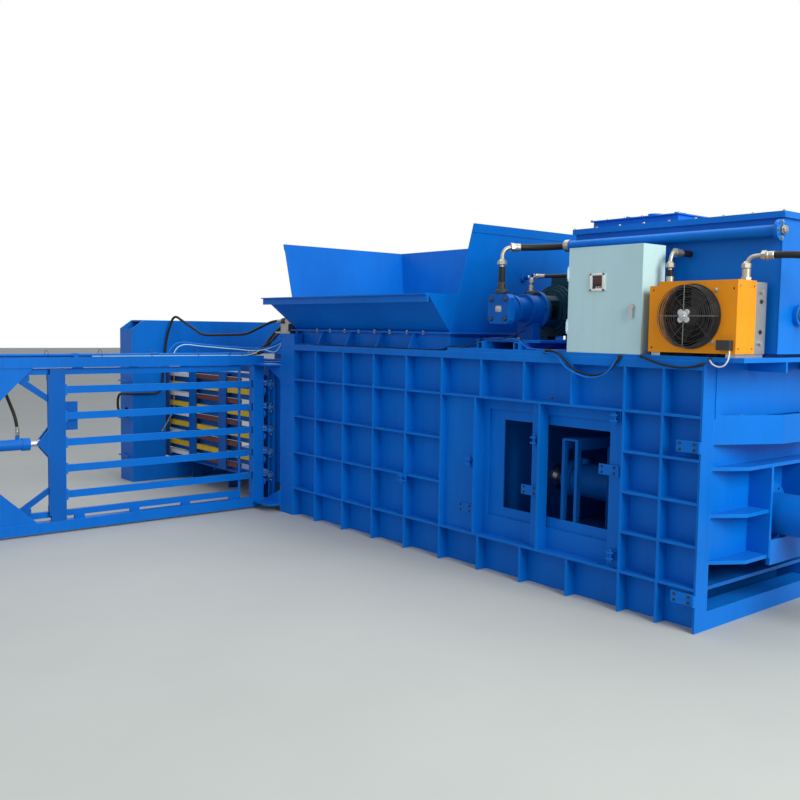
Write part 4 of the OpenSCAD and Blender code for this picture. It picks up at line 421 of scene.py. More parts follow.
def beadTree():
    tree, given, leave = newTree("weldBeads", [("Bead Radius", "Float"), ("Step", "Float"),
                                               ("Ripple", "Float"), ("Seed", "Float")])
    path = step(tree, "MeshToCurve", Mesh=given.outputs["Geometry"])
    fine = step(tree, "ResampleCurve", mode="LENGTH", Curve=path.outputs[0],
                Length=given.outputs["Step"])
    body = step(tree, "CurveToMesh", Fill_Caps=True, Curve=fine.outputs[0],
                Profile_Curve=ringOf(tree, 6, given.outputs["Bead Radius"]))
    wave = step(tree, "ShaderNodeTexNoise", noise_dimensions="4D", Scale=60.0,
                W=given.outputs["Seed"])
    swell = calc(tree, "SUBTRACT", wave.outputs["Fac"], 0.5)
    amount = calc(tree, "MULTIPLY", swell, given.outputs["Ripple"])
    outward = step(tree, "ShaderNodeVectorMath", operation="SCALE", Scale=amount)
    tree.links.new(tree.nodes.new("GeometryNodeInputNormal").outputs[0], outward.inputs[0])
    moved = step(tree, "SetPosition", Geometry=body.outputs[0], Offset=outward.outputs[0])
    closeTree(tree, given, leave, moved.outputs[0], True)
    return tree


def rowTree():
    tree, given, leave = newTree("plateRow", [("Count", "Int"), ("Pitch", "Vector"),
                                              ("Plate Size", "Vector")])
    line = step(tree, "MeshLine", Count=given.outputs["Count"], Offset=given.outputs["Pitch"])
    plate = step(tree, "MeshCube", Size=given.outputs["Plate Size"])
    row = step(tree, "InstanceOnPoints", Points=line.outputs[0],
               Instance=plate.outputs["Mesh"])
    placed = step(tree, "InstanceOnPoints", Points=given.outputs["Geometry"],
                  Instance=row.outputs[0])
    closeTree(tree, given, leave, placed.outputs[0], False)
    return tree


def tieTree():
    tree, given, leave = newTree("cableTies", [("Spacing", "Float"), ("Tie Radius", "Float"),
                                               ("Strap Radius", "Float")])
    marks = marksAlong(tree, given, "Spacing")
    loop = step(tree, "CurveToMesh", Curve=ringOf(tree, 14, given.outputs["Tie Radius"]),
                Profile_Curve=ringOf(tree, 5, given.outputs["Strap Radius"]))
    placed = step(tree, "InstanceOnPoints", Points=marks.outputs[0], Instance=loop.outputs[0],
                  Rotation=marks.outputs["Rotation"])
    closeTree(tree, given, leave, placed.outputs[0], True)
    return tree


def chainTree():
    tree, given, leave = newTree("chainLinks", [("Pitch", "Float"), ("Wire Radius", "Float")])
    marks = marksAlong(tree, given, "Pitch")
    oval = step(tree, "Transform", Scale=(0.48, 0.74, 1.0), Rotation=(math.pi / 2, 0, 0),
                Geometry=ringOf(tree, 12, given.outputs["Pitch"]))
    link = step(tree, "CurveToMesh", Curve=oval.outputs[0],
                Profile_Curve=ringOf(tree, 6, given.outputs["Wire Radius"]))
    # each link stands a quarter turn from the one before
    quarter = calc(tree, "MULTIPLY", tree.nodes.new("GeometryNodeInputIndex").outputs[0], math.pi / 2)
    turned = spunBy(tree, marks.outputs["Rotation"], quarter)
    placed = step(tree, "InstanceOnPoints", Points=marks.outputs[0],
                  Instance=link.outputs[0], Rotation=turned)
    closeTree(tree, given, leave, placed.outputs[0], True)
    return tree


bolts, beads, rows, ties, chain = boltTree(), beadTree(), rowTree(), tieTree(), chainTree()


def finishPiece(name, mesh, slot, body="press"):
    piece = added(name, mesh)
    if not mesh.materials:
        mesh.materials.append(finishes[slot])
    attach(piece, body)
    return piece


def grown(name, tree, holder, values, slot):
    start = added(name + "Start", holder)
    modifier = start.modifiers.new("build", "NODES")
    modifier.node_group = tree
    values = dict(values, Finish=finishes[slot])
    for item in tree.interface.items_tree:
        if item.in_out == "INPUT" and item.name in values:
            modifier[item.identifier] = values[item.name]
    seen = start.evaluated_get(bpy.context.evaluated_depsgraph_get())
    mesh = bpy.data.meshes.new_from_object(seen)
    mesh.name = name
    mesh.materials.clear()
    mesh.materials.append(finishes[slot])
    mesh.polygons.foreach_set("material_index", [0] * len(mesh.polygons))
    bpy.data.objects.remove(start)
    return finishPiece(name, mesh, slot)


def spotMesh(name, spots):
    mesh = bpy.data.meshes.new(name)
    mesh.from_pydata([Vector(p) / 1000 for p, way in spots], [], [])
    facing = mesh.attributes.new("facing", "FLOAT_VECTOR", "POINT")
    facing.data.foreach_set("vector", [c for p, way in spots for c in way])
    return mesh


def lineMesh(name, lines):
    points, edges = [], []
    for line in lines:
        edges += [(len(points) + i, len(points) + i + 1) for i in range(len(line) - 1)]
        points += [Vector(p) / 1000 for p in line]
    mesh = bpy.data.meshes.new(name)
    mesh.from_pydata(points, edges, [])
    return mesh


boltShape = dict(height=0.75, washer=1.45)
beadShape = dict(step=0.014, ripple=0.9, seed=3.0)
sharpAngle = math.radians(35)


def boltsAt(name, spots, size, slot="zinc_plate"):
    radius = size / 1000
    values = {"Head Radius": radius, "Head Height": radius * boltShape["height"],
              "Washer Radius": radius * boltShape["washer"], "Seed": len(spots)}
    return grown(name, bolts, spotMesh(name, spots), values, slot)


def beadsAlong(name, lines, size):
    radius = size / 1000
    values = {"Bead Radius": radius, "Step": beadShape["step"], "Ripple": radius * beadShape["ripple"],
              "Seed": beadShape["seed"] + len(lines)}
    return grown(name, beads, lineMesh(name, lines), values, "blue_paint")


# smooth lines for hoses, wires and bent pipes
curveSteps = [k / 8 for k in range(8)]


def rounded(points, radii):
    points = [Vector(p) for p in points]
    line = [points[0]]
    for i in range(1, len(points) - 1):
        cut = radii[min(i, len(radii)) - 1]
        a = points[i] + (points[i - 1] - points[i]).normalized() * cut
        b = points[i] + (points[i + 1] - points[i]).normalized() * cut
        for t in curveSteps + [1.0]:
            line.append(a * (1 - t) ** 2 + points[i] * 2 * t * (1 - t) + b * t ** 2)
    line.append(points[-1])
    return line


def threaded(points):
    points = [Vector(p) for p in points]
    whole = [points[0] * 2 - points[1]] + points + [points[-1] * 2 - points[-2]]
    line = []
    for i in range(1, len(whole) - 2):
        a, b, c, d = whole[i - 1:i + 3]
        for t in curveSteps:
            line.append(0.5 * (b * 2 + (c - a) * t + (a * 2 - b * 5 + c * 4 - d) * t ** 2
                               + (b * 3 - a - c * 3 + d) * t ** 3))
    return line + [points[-1]]


def lengthOf(line):
    return sum((b - a).length for a, b in zip(line, line[1:])) / 1000


def bentRod(name, line, diameter, slot):
    data = bpy.data.curves.new(name, "CURVE")
    data.dimensions = "3D"
    data.bevel_depth = diameter / 2000
    data.bevel_resolution = 4
    data.use_fill_caps = True
    spline = data.splines.new("POLY")
    spline.points.add(len(line) - 1)
    for spot, p in zip(spline.points, line):
        spot.co = (*(Vector(p) / 1000), 1)
    spline.use_smooth = True
    rod = added(name, data)
    data.materials.append(finishes[slot])
    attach(rod, "press")
    return rod


def flexible(name, line, diameter, slot="hose_rubber"):
    rod = bentRod(name, line, diameter, slot)
    return rod


# turned and pressed parts, gathered into one mesh
def frameOf(axis):
    axis = Vector(axis).normalized()
    side = axis.orthogonal().normalized()
    return axis, side, axis.cross(side)


def turnOn(bm, place, axis, profile, sides=24):
    axis, side, up = frameOf(axis)
    place = Vector(place)
    rings = []
    for along, radius in profile:
        ring = []
        for k in range(sides):
            a = 2 * math.pi * k / sides
            p = place + axis * along + (side * math.cos(a) + up * math.sin(a)) * radius
            ring.append(bm.verts.new(p / 1000))
        rings.append(ring)
    for low, high in zip(rings, rings[1:]):
        for k in range(sides):
            bm.faces.new((low[k], low[(k + 1) % sides], high[(k + 1) % sides], high[k]))
    bm.faces.new(reversed(rings[0]))
    bm.faces.new(rings[-1])


def plateOn(bm, low, high, bevel=1.5):
    made = bmesh.ops.create_cube(bm, size=1)["verts"]
    low, high = Vector(low) / 1000, Vector(high) / 1000
    for v in made:
        v.co = Vector((low[i] + (v.co[i] + 0.5) * (high[i] - low[i]) for i in range(3)))
    edges = list({e for v in made for e in v.link_edges})
    bmesh.ops.bevel(bm, geom=edges, offset=bevel / 1000, segments=2, profile=0.5, affect="EDGES")


def solidPiece(name, bm, slot, body="press"):
    bmesh.ops.recalc_face_normals(bm, faces=bm.faces)
    mesh = bpy.data.meshes.new(name)
    for face in bm.faces:
        face.smooth = True
    bm.to_mesh(mesh)
    bm.free()
    mesh.set_sharp_from_angle(angle=sharpAngle)
    return finishPiece(name, mesh, slot, body)


def cutLine(line, start, stop):
    out, done = [], 0.0
    for a, b in zip(line, line[1:]):
        span = (b - a).length
        if done + span > start and done < stop:
            low, high = max(start - done, 0) / span, min(stop - done, span) / span
            if not out:
                out.append(a.lerp(b, low))
            out.append(a.lerp(b, high))
        done += span
    return out


def spotOn(line, along):
    piece = cutLine(line, along, along + 4)
    return piece[0], (piece[-1] - piece[0]).normalized()


# hoses between the units; steel gives the bent steel end piece, mm along the line from its start
tautHose = dict(stiffness="stiff", lay="taut")
looseHose = dict(stiffness="medium", lay="hanging", steel=None)
hoseRuns = [
    dict(tautHose, name="pumpHose", bends=(70, 150), diameter=46, steel=(170, 345), points=[
        (565, -718, 1976), (565, -718, 2262), (725, -450, 2272), (922.7, -450, 2272)]),
    dict(tautHose, name="caseHose", bends=(50, 100), diameter=26, steel=(60, 150), points=[
        (565, -420, 1976), (565, -420, 2080), (765, -370, 2080), (944.7, -370, 2080)]),
    dict(tautHose, name="coolerReturnHose", bends=(60, 150, 125, 150), diameter=38, steel=(46, 200),
         lay="hanging", points=[
        (2320, -630, 2010), (2320, -630, 2122), (2640, -600, 2122), (2700, -300, 2080),
        (2700, -200, 1810), (2403.3, -200, 1810)]),
    dict(tautHose, name="coolerFeedHose", bends=(60,), diameter=38, steel=(96, 230), points=[
        (1818, -600, 1986), (1818, -600, 2173), (1818, -400.3, 2173)]),
    dict(looseHose, name="squeezeHose", bends=(96,), diameter=26, points=[
        (-4595, -1130.3, 738), (-4595, -1282, 738), (-4585, -1282, 960), (-4392, -1260, 960),
        (-4392, -870, 955), (-4390, -810, 1560), (-4335, -750, 1815), (-3760, -700, 1600),
        (-3050, -600, 1620), (-2620, -555, 1755), (-2455.3, -555, 1755)]),
    dict(looseHose, name="needleHose", bends=(100,), diameter=26, points=[
        (-2473, -2995, 810.3), (-2473, -2995, 924.3), (-2610, -3060, 1200), (-2610, -3385, 1446),
        (-2501.3, -3385, 1446)]),
    dict(looseHose, name="needleFeedHose", bends=(100,), diameter=26, points=[
        (-2490, -907.7, 1446), (-2490, -780, 1446), (-2540, -600, 1640), (-2560, -405, 1755),
        (-2455.3, -405, 1755)]),
    dict(looseHose, name="needleReturnHose", bends=(70,), diameter=22, points=[
        (-2455, -907.7, 1446), (-2455, -770, 1446), (-2500, -620, 1600), (-2500, -480, 1692),
        (-2365.3, -480, 1692)]),
]
hoseEnd = dict(shortest=6.5, nutWide=1.42, sleeveWide=1.2, waistWide=1.1, elbowWide=0.62, fromPort=30,
               fromStop=34, footGap=14, hoseGap=10, elbowOver=20, leastStub=8)


def crimpedEnd(bm, place, towards, half, sleeved=True):
    nut, sleeve, waist = (half * hoseEnd[k] for k in ("nutWide", "sleeveWide", "waistWide"))
    turnOn(bm, place, towards, [(-26, nut), (-2, nut)], 6)
    if sleeved:
        turnOn(bm, place, towards, [(-2, waist), (0, sleeve), (9, sleeve), (11, waist), (20, sleeve),
                                    (30, waist), (38, sleeve), (42, half)])
    else:
        turnOn(bm, place, towards, [(-38, half * 0.7), (-26, sleeve), (-2, sleeve), (2, half)])


def makeHoses():
    ends = bmesh.new()
    made = []
    for run in hoseRuns:
        line = rounded(run["points"], run["bends"])
        total = lengthOf(line) * 1000
        wide = run["diameter"]
        if run["steel"]:
            low, high = run["steel"]
            stretches = [(0, low - hoseEnd["footGap"]), (high + hoseEnd["hoseGap"], total)]
            over = hoseEnd["elbowOver"]
            made.append(bentRod(run["name"] + "Elbow", cutLine(line, low - over, high + over),
                                wide * hoseEnd["elbowWide"], "zinc_plate"))
            for along, way in ((low, -1), (high, 1)):
                place, towards = spotOn(line, along)
                crimpedEnd(ends, place, towards * way, wide / 2, sleeved=way > 0)
        else:
            stretches = [(0, total)]
            for along, way in ((hoseEnd["fromPort"], 1), (total - hoseEnd["fromStop"], -1)):
                place, towards = spotOn(line, along)
                crimpedEnd(ends, place, towards * way, wide / 2)
        for k, (a, b) in enumerate(stretches):
            piece = cutLine(line, a, b)
            name = run["name"] + ("Foot" if k + 1 < len(stretches) else "")
            if b - a > hoseEnd["shortest"] * wide:
                made.append(flexible(name, piece, wide))
            elif b - a > hoseEnd["leastStub"]:
                made.append(bentRod(name, piece, wide, "hose_rubber"))
    made.append(solidPiece("hoseEnds", ends, "zinc_plate"))
    for piece in made:
        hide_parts("hoses")


makeHoses()
print("hoses in place")

# cables that hang free, made cords
cableRuns = [
    dict(name="cabinetCable", diameter=13, slot="hose_rubber", points=[
        (1010, -757, 1574), (1070, -762, 1573), (1130, -766, 1558), (1190, -768, 1510),
        (1264, -769, 1462), (1383, -769, 1434), (1482, -769, 1446), (1548, -768, 1484),
        (1590, -764, 1530), (1604, -757, 1557)]),
    dict(name="cabinetCableBlue", diameter=10, slot="blue_paint", points=[
        (1000, -756, 1560), (1064, -762, 1556), (1120, -767, 1536), (1180, -781, 1490),
        (1254, -782, 1448), (1375, -782, 1419), (1476, -782, 1433), (1536, -780, 1470),
        (1572, -766, 1528), (1580, -756, 1552)]),
    dict(name="coolerCable", diameter=13, slot="hose_rubber", points=[
        (1742, -757, 1560), (1790, -763, 1548), (1851, -767, 1530), (1930, -768, 1514),
        (2018, -768, 1506), (2090, -767, 1512), (2140, -763, 1524), (2158, -757, 1530)]),
    dict(name="junctionCable", diameter=8, slot="nylon", points=[
        (2322, -772, 1612), (2324, -774, 1590), (2318, -776, 1556), (2296, -777, 1527),
        (2262, -776, 1520), (2226, -772, 1532), (2206, -764, 1549), (2196, -755, 1556)]),
]
# lines clipped down along the ledge and the needle beam
lineRuns = [
    dict(name="ledgeWireDark", diameter=10, slot="hose_rubber", points=[
        (-2150, -712, 1550.5), (-1300, -716, 1550.5), (-500, -710, 1550.5), (-40, -712, 1551),
        (60, -706, 1577), (240, -700, 1580), (352, -694, 1626), (440, -690, 1642), (700, -690, 1642),
        (800, -700, 1590), (940, -712, 1577), (1172, -716, 1580)]),
    dict(name="ledgeWireBlue", diameter=9, slot="blue_paint", points=[
        (-2150, -724, 1550), (-1200, -728, 1550), (-420, -722, 1550), (-36, -724, 1551),
        (64, -720, 1576), (250, -712, 1580), (350, -706, 1625), (430, -702, 1641), (690, -701, 1641),
        (810, -716, 1588), (950, -726, 1576), (1172, -728, 1577)]),
    dict(name="ledgeWireThin", diameter=8, slot="hose_rubber", points=[
        (-1650, -736, 1549.5), (-900, -738, 1549.5), (-300, -734, 1549.5), (-30, -736, 1551),
        (70, -732, 1576), (240, -724, 1580), (348, -716, 1626), (440, -712, 1640), (560, -712, 1640),
        (640, -690, 1660), (640, -560, 1700)]),
    dict(name="beamLineBlueHigh", diameter=13, slot="blue_paint", points=[
        (-2479, -1712, 1434), (-2479, -1690, 1484), (-2477, -1648, 1530), (-2474, -1570, 1550),
        (-2471, -1405, 1534), (-2468, -1083, 1508), (-2462, -800, 1496), (-2440, -660, 1530),
        (-2400, -560, 1600), (-2352, -556, 1668)]),
    # pale grey line beside the blue lines: a painted highlight along them
    dict(name="beamHighlightLineHigh", diameter=8, slot="grey_paint", points=[
        (-2460, -1672, 1434), (-2460, -1650, 1482), (-2459, -1610, 1518), (-2457, -1540, 1532),
        (-2455, -1400, 1518), (-2452, -1100, 1494), (-2446, -860, 1476), (-2420, -720, 1500),
        (-2370, -600, 1566), (-2352, -590, 1668)]),
    dict(name="beamLineBlack", diameter=13, slot="hose_rubber", points=[
        (-2504, -3250, 1437), (-2504, -2200, 1437), (-2506, -1300, 1437), (-2504, -960, 1440),
        (-2492, -860, 1478), (-2476, -740, 1520), (-2440, -640, 1590), (-2420, -610, 1668)]),
    dict(name="beamLineBlue", diameter=12, slot="blue_paint", points=[
        (-2473, -3150, 1437), (-2473, -2500, 1452), (-2474, -1800, 1440), (-2472, -1200, 1450),
        (-2474, -940, 1444), (-2440, -850, 1490), (-2400, -760, 1470), (-2320, -690, 1500),
        (-2240, -640, 1560), (-2216, -620, 1664)]),
    # pale grey line beside the blue lines: a painted highlight along them
    dict(name="beamHighlightLine", diameter=7, slot="grey_paint", points=[
        (-2441, -2400, 1435), (-2441, -1800, 1435), (-2443, -1200, 1435), (-2440, -930, 1438),
        (-2410, -800, 1486), (-2340, -752, 1468), (-2280, -742, 1472), (-2230, -730, 1510),
        (-2216, -690, 1600), (-2232, -640, 1664)]),
]


tieRuns = [
    dict(name="ledgeTies", line=[(-2150, -724, 1551), (-1200, -727, 1551), (-60, -724, 1551)],
         spacing=0.31, tie=0.0175, strap=0.0016),
    dict(name="beamTies", line=[(-2473, -3200, 1444), (-2473, -1000, 1446)],
         spacing=0.42, tie=0.044, strap=0.002),
]


def makeCables():
    for run in cableRuns:
        flexible(run["name"], threaded(run["points"]), run["diameter"], run["slot"])
    for run in lineRuns:
        bentRod(run["name"], threaded(run["points"]), run["diameter"], run["slot"])
    for run in tieRuns:
        values = {"Spacing": run["spacing"], "Tie Radius": run["tie"], "Strap Radius": run["strap"]}
        grown(run["name"], ties, lineMesh(run["name"], [run["line"]]), values, "black_plastic")


makeCables()
print("cables in place")
# pump: caps, port pads, cuff, plate and the bolts of its lantern and feet
pumpDress = dict(x=565, z=1845, face=-745, capReach=66, capRadius=16.5, plate=(27, 21), screwInset=5,
                 ports=(-718, -420), portZ=1955, portRadius=42, pad=(46, 20), padZ=(1951, 1968),
                 cuffZ=1976, cuffRadius=28.5, flanges=((-390, 123, 6), (-215, 143, 8)), footZ=1640,
                 feet=((165, (-75, 295)), (50, (-590, -420))))


def ringSpots(centre, radius, count, facing, start=0.0):
    axis, side, up = frameOf(facing)
    spots = []
    for k in range(count):
        a = start + 2 * math.pi * k / count
        spots.append((Vector(centre) + (side * math.cos(a) + up * math.sin(a)) * radius, tuple(axis)))
    return spots


def makePumpDress(d):
    x, z, face, r = d["x"], d["z"], d["face"], d["capRadius"]
    corners = [(sx, sz) for sx in (-1, 1) for sz in (-1, 1)]
    caps = bmesh.new()
    for sx, sz in corners:
        turnOn(caps, (x + sx * d["capReach"], face, z + sz * d["capReach"]), (0, -1, 0),
               [(-1, r), (13, r), (16, r - 2), (16, 9), (9, 8)], 20)
    r, (padX, padY), (padLow, padHigh) = d["portRadius"], d["pad"], d["padZ"]
    for y in d["ports"]:
        turnOn(caps, (x, y, d["portZ"]), (0, 0, 1), [(0, r), (18, r), (22, 36), (24, 36)], 28)
        plateOn(caps, (x - padX, y - padY, padLow), (x + padX, y + padY, padHigh), 4)
    r = d["cuffRadius"]
    turnOn(caps, (x, d["ports"][0], d["cuffZ"]), (0, 0, 1), [(0, r), (46, r), (50, 24)], 28)
    solidPiece("pumpCaps", caps, "black_plastic")
    plate = bmesh.new()
    w, h = d["plate"]
    plateOn(plate, (x - w, face - 1.6, z - h), (x + w, face + 0.4, z + h), 0.7)
    solidPiece("pumpPlate", plate, "fin_aluminium")
    w, h = w - d["screwInset"], h - d["screwInset"]
    screws = [((x + sx * w, face - 1.6, z + sz * h), (0, -1, 0)) for sx, sz in corners]
    boltsAt("pumpPlateScrews", screws, 2.2)
    lantern = [spot for y, r, n in d["flanges"] for spot in ringSpots((x, y, z), r, n, (0, -1, 0), 0.3)]
    boltsAt("lanternBolts", lantern, 7, slot="black_plastic")
    feet = [((x + sx * reach, y, d["footZ"]), (0, 0, 1)) for reach, rows in d["feet"] for sx in (-1, 1)
            for y in rows]
    boltsAt("footBolts", feet, 11)


makePumpDress(pumpDress)

# oil cooler: wire basket over the fan with its hub star, clips, screws and the core's fins
coolerDress = dict(centre=(2070, 1794), face=-750, side=2345, basketRadius=172, basketDepth=80,
                   wallRings=6, frontRings=11, hubRadius=26, wire=1.5, spoke=2.6, starReach=28,
                   starLobe=18, starHub=27, clips=((2219, 1938), (2206, 1654)),
                   screws=((-725, -585), (1620, 1960)),
                   bolts=((-505, 1711), (-505, 1879)))
coreRows = [
    dict(name="coreFins", start=(2.067, -0.449, 1.599), count=13, pitch=(0, 0, 0.030),
         size=(0.47, 0.003, 0.0012), slot="fin_aluminium"),
    dict(name="coreMatrix", start=(1.848, -0.567, 1.785), count=74, pitch=(0.006, 0, 0),
         size=(0.0016, 0.012, 0.350), slot="black_plastic"),
]


def circle(centre, radius, sides=48):
    x, y, z = centre
    turns = [2 * math.pi * k / sides for k in range(sides + 1)]
    return [(x + radius * math.cos(a), y, z + radius * math.sin(a)) for a in turns]


def wires(name, lines, radius, slot):
    values = {"Bead Radius": radius / 1000, "Step": 0.02, "Ripple": 0.0, "Seed": 1.0}
    return grown(name, beads, lineMesh(name, lines), values, slot)


def makeCoolerDress(d):
    x, z = d["centre"]
    y, wide, hub, depth = d["face"], d["basketRadius"], d["hubRadius"], d["basketDepth"]
    front, walls, fronts = y - depth, d["wallRings"], d["frontRings"]
    wall = [circle((x, y - 10 - (depth - 14) * k / walls, z), wide) for k in range(walls)]
    face = [circle((x, front, z), hub + (wide - hub) * k / fronts) for k in range(fronts + 1)]
    wires("basketRings", wall + face, d["wire"], "black_plastic")
    bend = ((hub, front - 2), (wide, front - 2), (wide + 2, front + 6), (wide + 2, y - 4))
    ways = ((1, 0), (0, 1), (-1, 0), (0, -1))
    spokes = [[(x + r * c, at, z + r * s) for r, at in bend] for c, s in ways]
    wires("basketSpokes", spokes, d["spoke"], "piston_iron")
    star = bmesh.new()
    reach, lobe, boss = d["starReach"], d["starLobe"], d["starHub"]
    for k in range(4):
        a = math.pi / 4 + k * math.pi / 2
        turnOn(star, (x + reach * math.cos(a), front + 4, z + reach * math.sin(a)), (0, -1, 0),
               [(0, lobe), (6, lobe), (8, lobe - 2)], 20)
    turnOn(star, (x, front + 4, z), (0, -1, 0), [(0, boss), (9, boss), (11, 24), (11, 12), (14, 10)], 32)
    solidPiece("fanHubStar", star, "fin_aluminium")
    clips = bmesh.new()
    for cx, cz in d["clips"]:
        plateOn(clips, (cx - 9, y - 5, cz - 12), (cx + 9, y + 0.5, cz + 12), 1.5)
        turnOn(clips, (cx, y - 5, cz), (0, -1, 0), [(-1, 6), (4, 6), (5, 4)], 6)
    solidPiece("hoodClips", clips, "zinc_plate")
    acrossY, acrossZ = d["screws"]
    screws = [((d["side"], cy, cz), (1, 0, 0)) for cy in acrossY for cz in acrossZ]
    boltsAt("hoodScrews", screws, 4)
    core = [((d["side"], cy, cz), (1, 0, 0)) for cy, cz in d["bolts"]]
    boltsAt("coreBolts", core, 9, slot="black_plastic")
    for row in coreRows:
        starts = bpy.data.meshes.new(row["name"] + "Starts")
        starts.from_pydata([row["start"]], [], [])
        values = {"Count": row["count"], "Pitch": row["pitch"], "Plate Size": row["size"]}
        grown(row["name"], rows, starts, values, row["slot"])


makeCoolerDress(coolerDress)

# control cabinet: meter, keys, folds of the door and all cable glands
cabinetDress = dict(meter=(1363, 1453, 1960, 2045), rim=(12, 2, 8), face=-750, keys=4, keyPitch=14,
                    keyStart=(32, 11))
doorFolds = [((1200, 2213), (1735, 2216)), ((1200, 1574), (1735, 1577)), ((1729, 1574), (1732, 2216))]
wireGlands = [(1173, -716, 1580), (1173, -728, 1600)]
frontGlands = [(1604, 1557), (1580, 1552), (1010, 1574), (1000, 1560), (1742, 1560), (2158, 1530),
               (2196, 1556), (1069, 1269)]


def makeCabinetDress(d):
    x0, x1, z0, z1 = d["meter"]
    y = d["face"]
    frameBars = bmesh.new()
    rim, lip, wideLip = d["rim"]
    left, right, low, high = x0 - rim, x1 + rim, z0 - rim, z1 + rim
    for a, b in (((left, low), (right, z0 + lip)), ((left, z1 - lip), (right, high)),
                 ((left, low), (x0 + lip, high)), ((x1 - wideLip, low), (right, high))):
        plateOn(frameBars, (a[0], y - 7.5, a[1]), (b[0], y - 1, b[1]), 1.5)
    plateOn(frameBars, (x0 + 26, y - 2.5, z0 + 1), (x1 - 3, y + 3.8, z0 + 16), 1)
    solidPiece("meterFrame", frameBars, "nylon", "door")
    screen = bmesh.new()
    plateOn(screen, (x0 + 1, y - 1, z0 + 1), (x1 - 7, y + 3.9, z1 - 1), 0.8)
    meterFace = solidPiece("meterFace", screen, "black_plastic", "door")
    meterFace.data.materials.clear()
    meterFace.data.materials.append(softSolid("maroonScreen", screenLook))
    keys = bmesh.new()
    fromX, fromZ = d["keyStart"]
    for k in range(d["keys"]):
        turnOn(keys, (x0 + fromX + d["keyPitch"] * k, y - 2.4, z0 + fromZ), (0, -1, 0),
               [(0, 4.5), (1.6, 4.5), (2.4, 3.6)], 16)
    solidPiece("meterKeys", keys, "black_plastic", "door")
    seams = bmesh.new()
    for low, high in doorFolds:
        plateOn(seams, (low[0] + 1, y - 0.8, low[1]), (high[0] - 1, y + 0.5, high[1]), 0.3)
    solidPiece("doorFolds", seams, "grey_paint", "door")
    glands = bmesh.new()
    spots = [(p, (-1, 0, 0)) for p in wireGlands] + [((gx, y, gz), (0, -1, 0)) for gx, gz in frontGlands]
    for place, facing in spots:
        turnOn(glands, place, facing, [(-1, 10), (3, 10), (3, 8.5), (9, 8.5), (11, 7)], 14)
    solidPiece("cableGlands", glands, "black_plastic")


makeCabinetDress(cabinetDress)

# oil tank, lid and return pipe
tankDress = dict(x=(945, 2395), y=(-400, 400), z=(1590, 2345), lid=(949, 1641, -266, 216, 2448),
                 rimZ=2380, pipeEnds=((2417, -450, 2272), (935, -450, 2272)), port=(2425.5, -200, 1810),
                 gauge=((2396, 60, 1760), (2404, 84, 2010)),
                 gaugeEnds=((2395, 72, 1764), (2395, 72, 2006)))


def makeTankDress(d):
    (x0, x1), (y0, y1), (z0, z1) = d["x"], d["y"], d["z"]
    lidX0, lidX1, lidY0, lidY1, lidZ = d["lid"]
    lidSpots = [((lidX0 + 8 + k * (lidX1 - lidX0 - 16) / 5, y, lidZ), (0, 0, 1)) for k in range(6)
                for y in (lidY0 + 7, lidY1 - 7)]
    rim = [((x0 - 8 + k * (x1 - x0 + 16) / 8, y, d["rimZ"]), (0, 0, 1)) for k in range(9)
           for y in (y0 - 11, y1 + 11)]
    boltsAt("tankBolts", lidSpots + rim, 7)
    stop, inlet = d["pipeEnds"]
    boltsAt("pipeFlangeBolts", ringSpots(stop, 43, 4, (1, 0, 0), math.pi / 4), 8)
    rings = bmesh.new()
    turnOn(rings, stop, (1, 0, 0), [(0, 27), (14, 27), (16, 24), (26, 24), (28, 20)], 6)
    turnOn(rings, inlet, (-1, -0.05, 0), [(0, 38), (10, 40), (34, 40), (38, 36), (46, 30)], 28)
    turnOn(rings, d["port"], (1, 0, 0), [(0, 38), (12, 38), (14, 34), (26, 30)], 28)
    solidPiece("pipeCouplings", rings, "zinc_plate")
    corners = [[(x, y, z0), (x, y, z1)] for x in (x0, x1) for y in (y0, y1)]
    seams = [[(x0, y, z0 + 4), (x1, y, z0 + 4)] for y in (y0, y1)]
    beadsAlong("tankWelds", corners + seams, 3.2)
    level = bmesh.new()
    plateOn(level, *d["gauge"], 2)
    for place in d["gaugeEnds"]:
        turnOn(level, place, (1, 0, 0), [(0, 14), (12, 14), (16, 9)], 18)
    solidPiece("levelGauge", level, "fin_aluminium")


makeTankDress(tankDress)

# valve block: coil sleeves with their plugs, ring ends and bolts
valveDress = dict(y=(-555, -405), z=1755, x0=-2455, x1=-2145, coils=((-2440, 52), (-2235, 60)),
                  plug=(-2226, -2186, 17, 26, 52), boltX=(-2338, -2264), boltY=27, boltZ=1780)


def makeValveDress(d):
    coils, rings = bmesh.new(), bmesh.new()
    z, (plugX0, plugX1, plugY, plugZ0, plugZ1) = d["z"], d["plug"]
    for y in d["y"]:
        for x, reach in d["coils"]:
            turnOn(coils, (x, y, z), (1, 0, 0), [(0, 25), (2, 31), (reach, 31), (reach + 2, 27)], 28)
        plateOn(coils, (plugX0, y - plugY, z + plugZ0), (plugX1, y + plugY, z + plugZ1), 3)
        turnOn(rings, (d["x1"], y, z), (1, 0, 0), [(0, 27), (9, 30), (12, 28), (12, 20), (4, 18)], 30)
        turnOn(rings, (d["x0"] + 4, y, z), (1, 0, 0), [(0, 25), (8, 26), (11, 24)], 30)
    solidPiece("valveCoils", coils, "black_plastic")
    solidPiece("valveRings", rings, "bright_steel")
    tops = [((x, y + dy, d["boltZ"]), (0, 0, 1)) for x in d["boltX"] for y in d["y"]
            for dy in (-d["boltY"], d["boltY"])]
    boltsAt("valveBolts", tops, 6)


makeValveDress(valveDress)
print("power unit dressed")

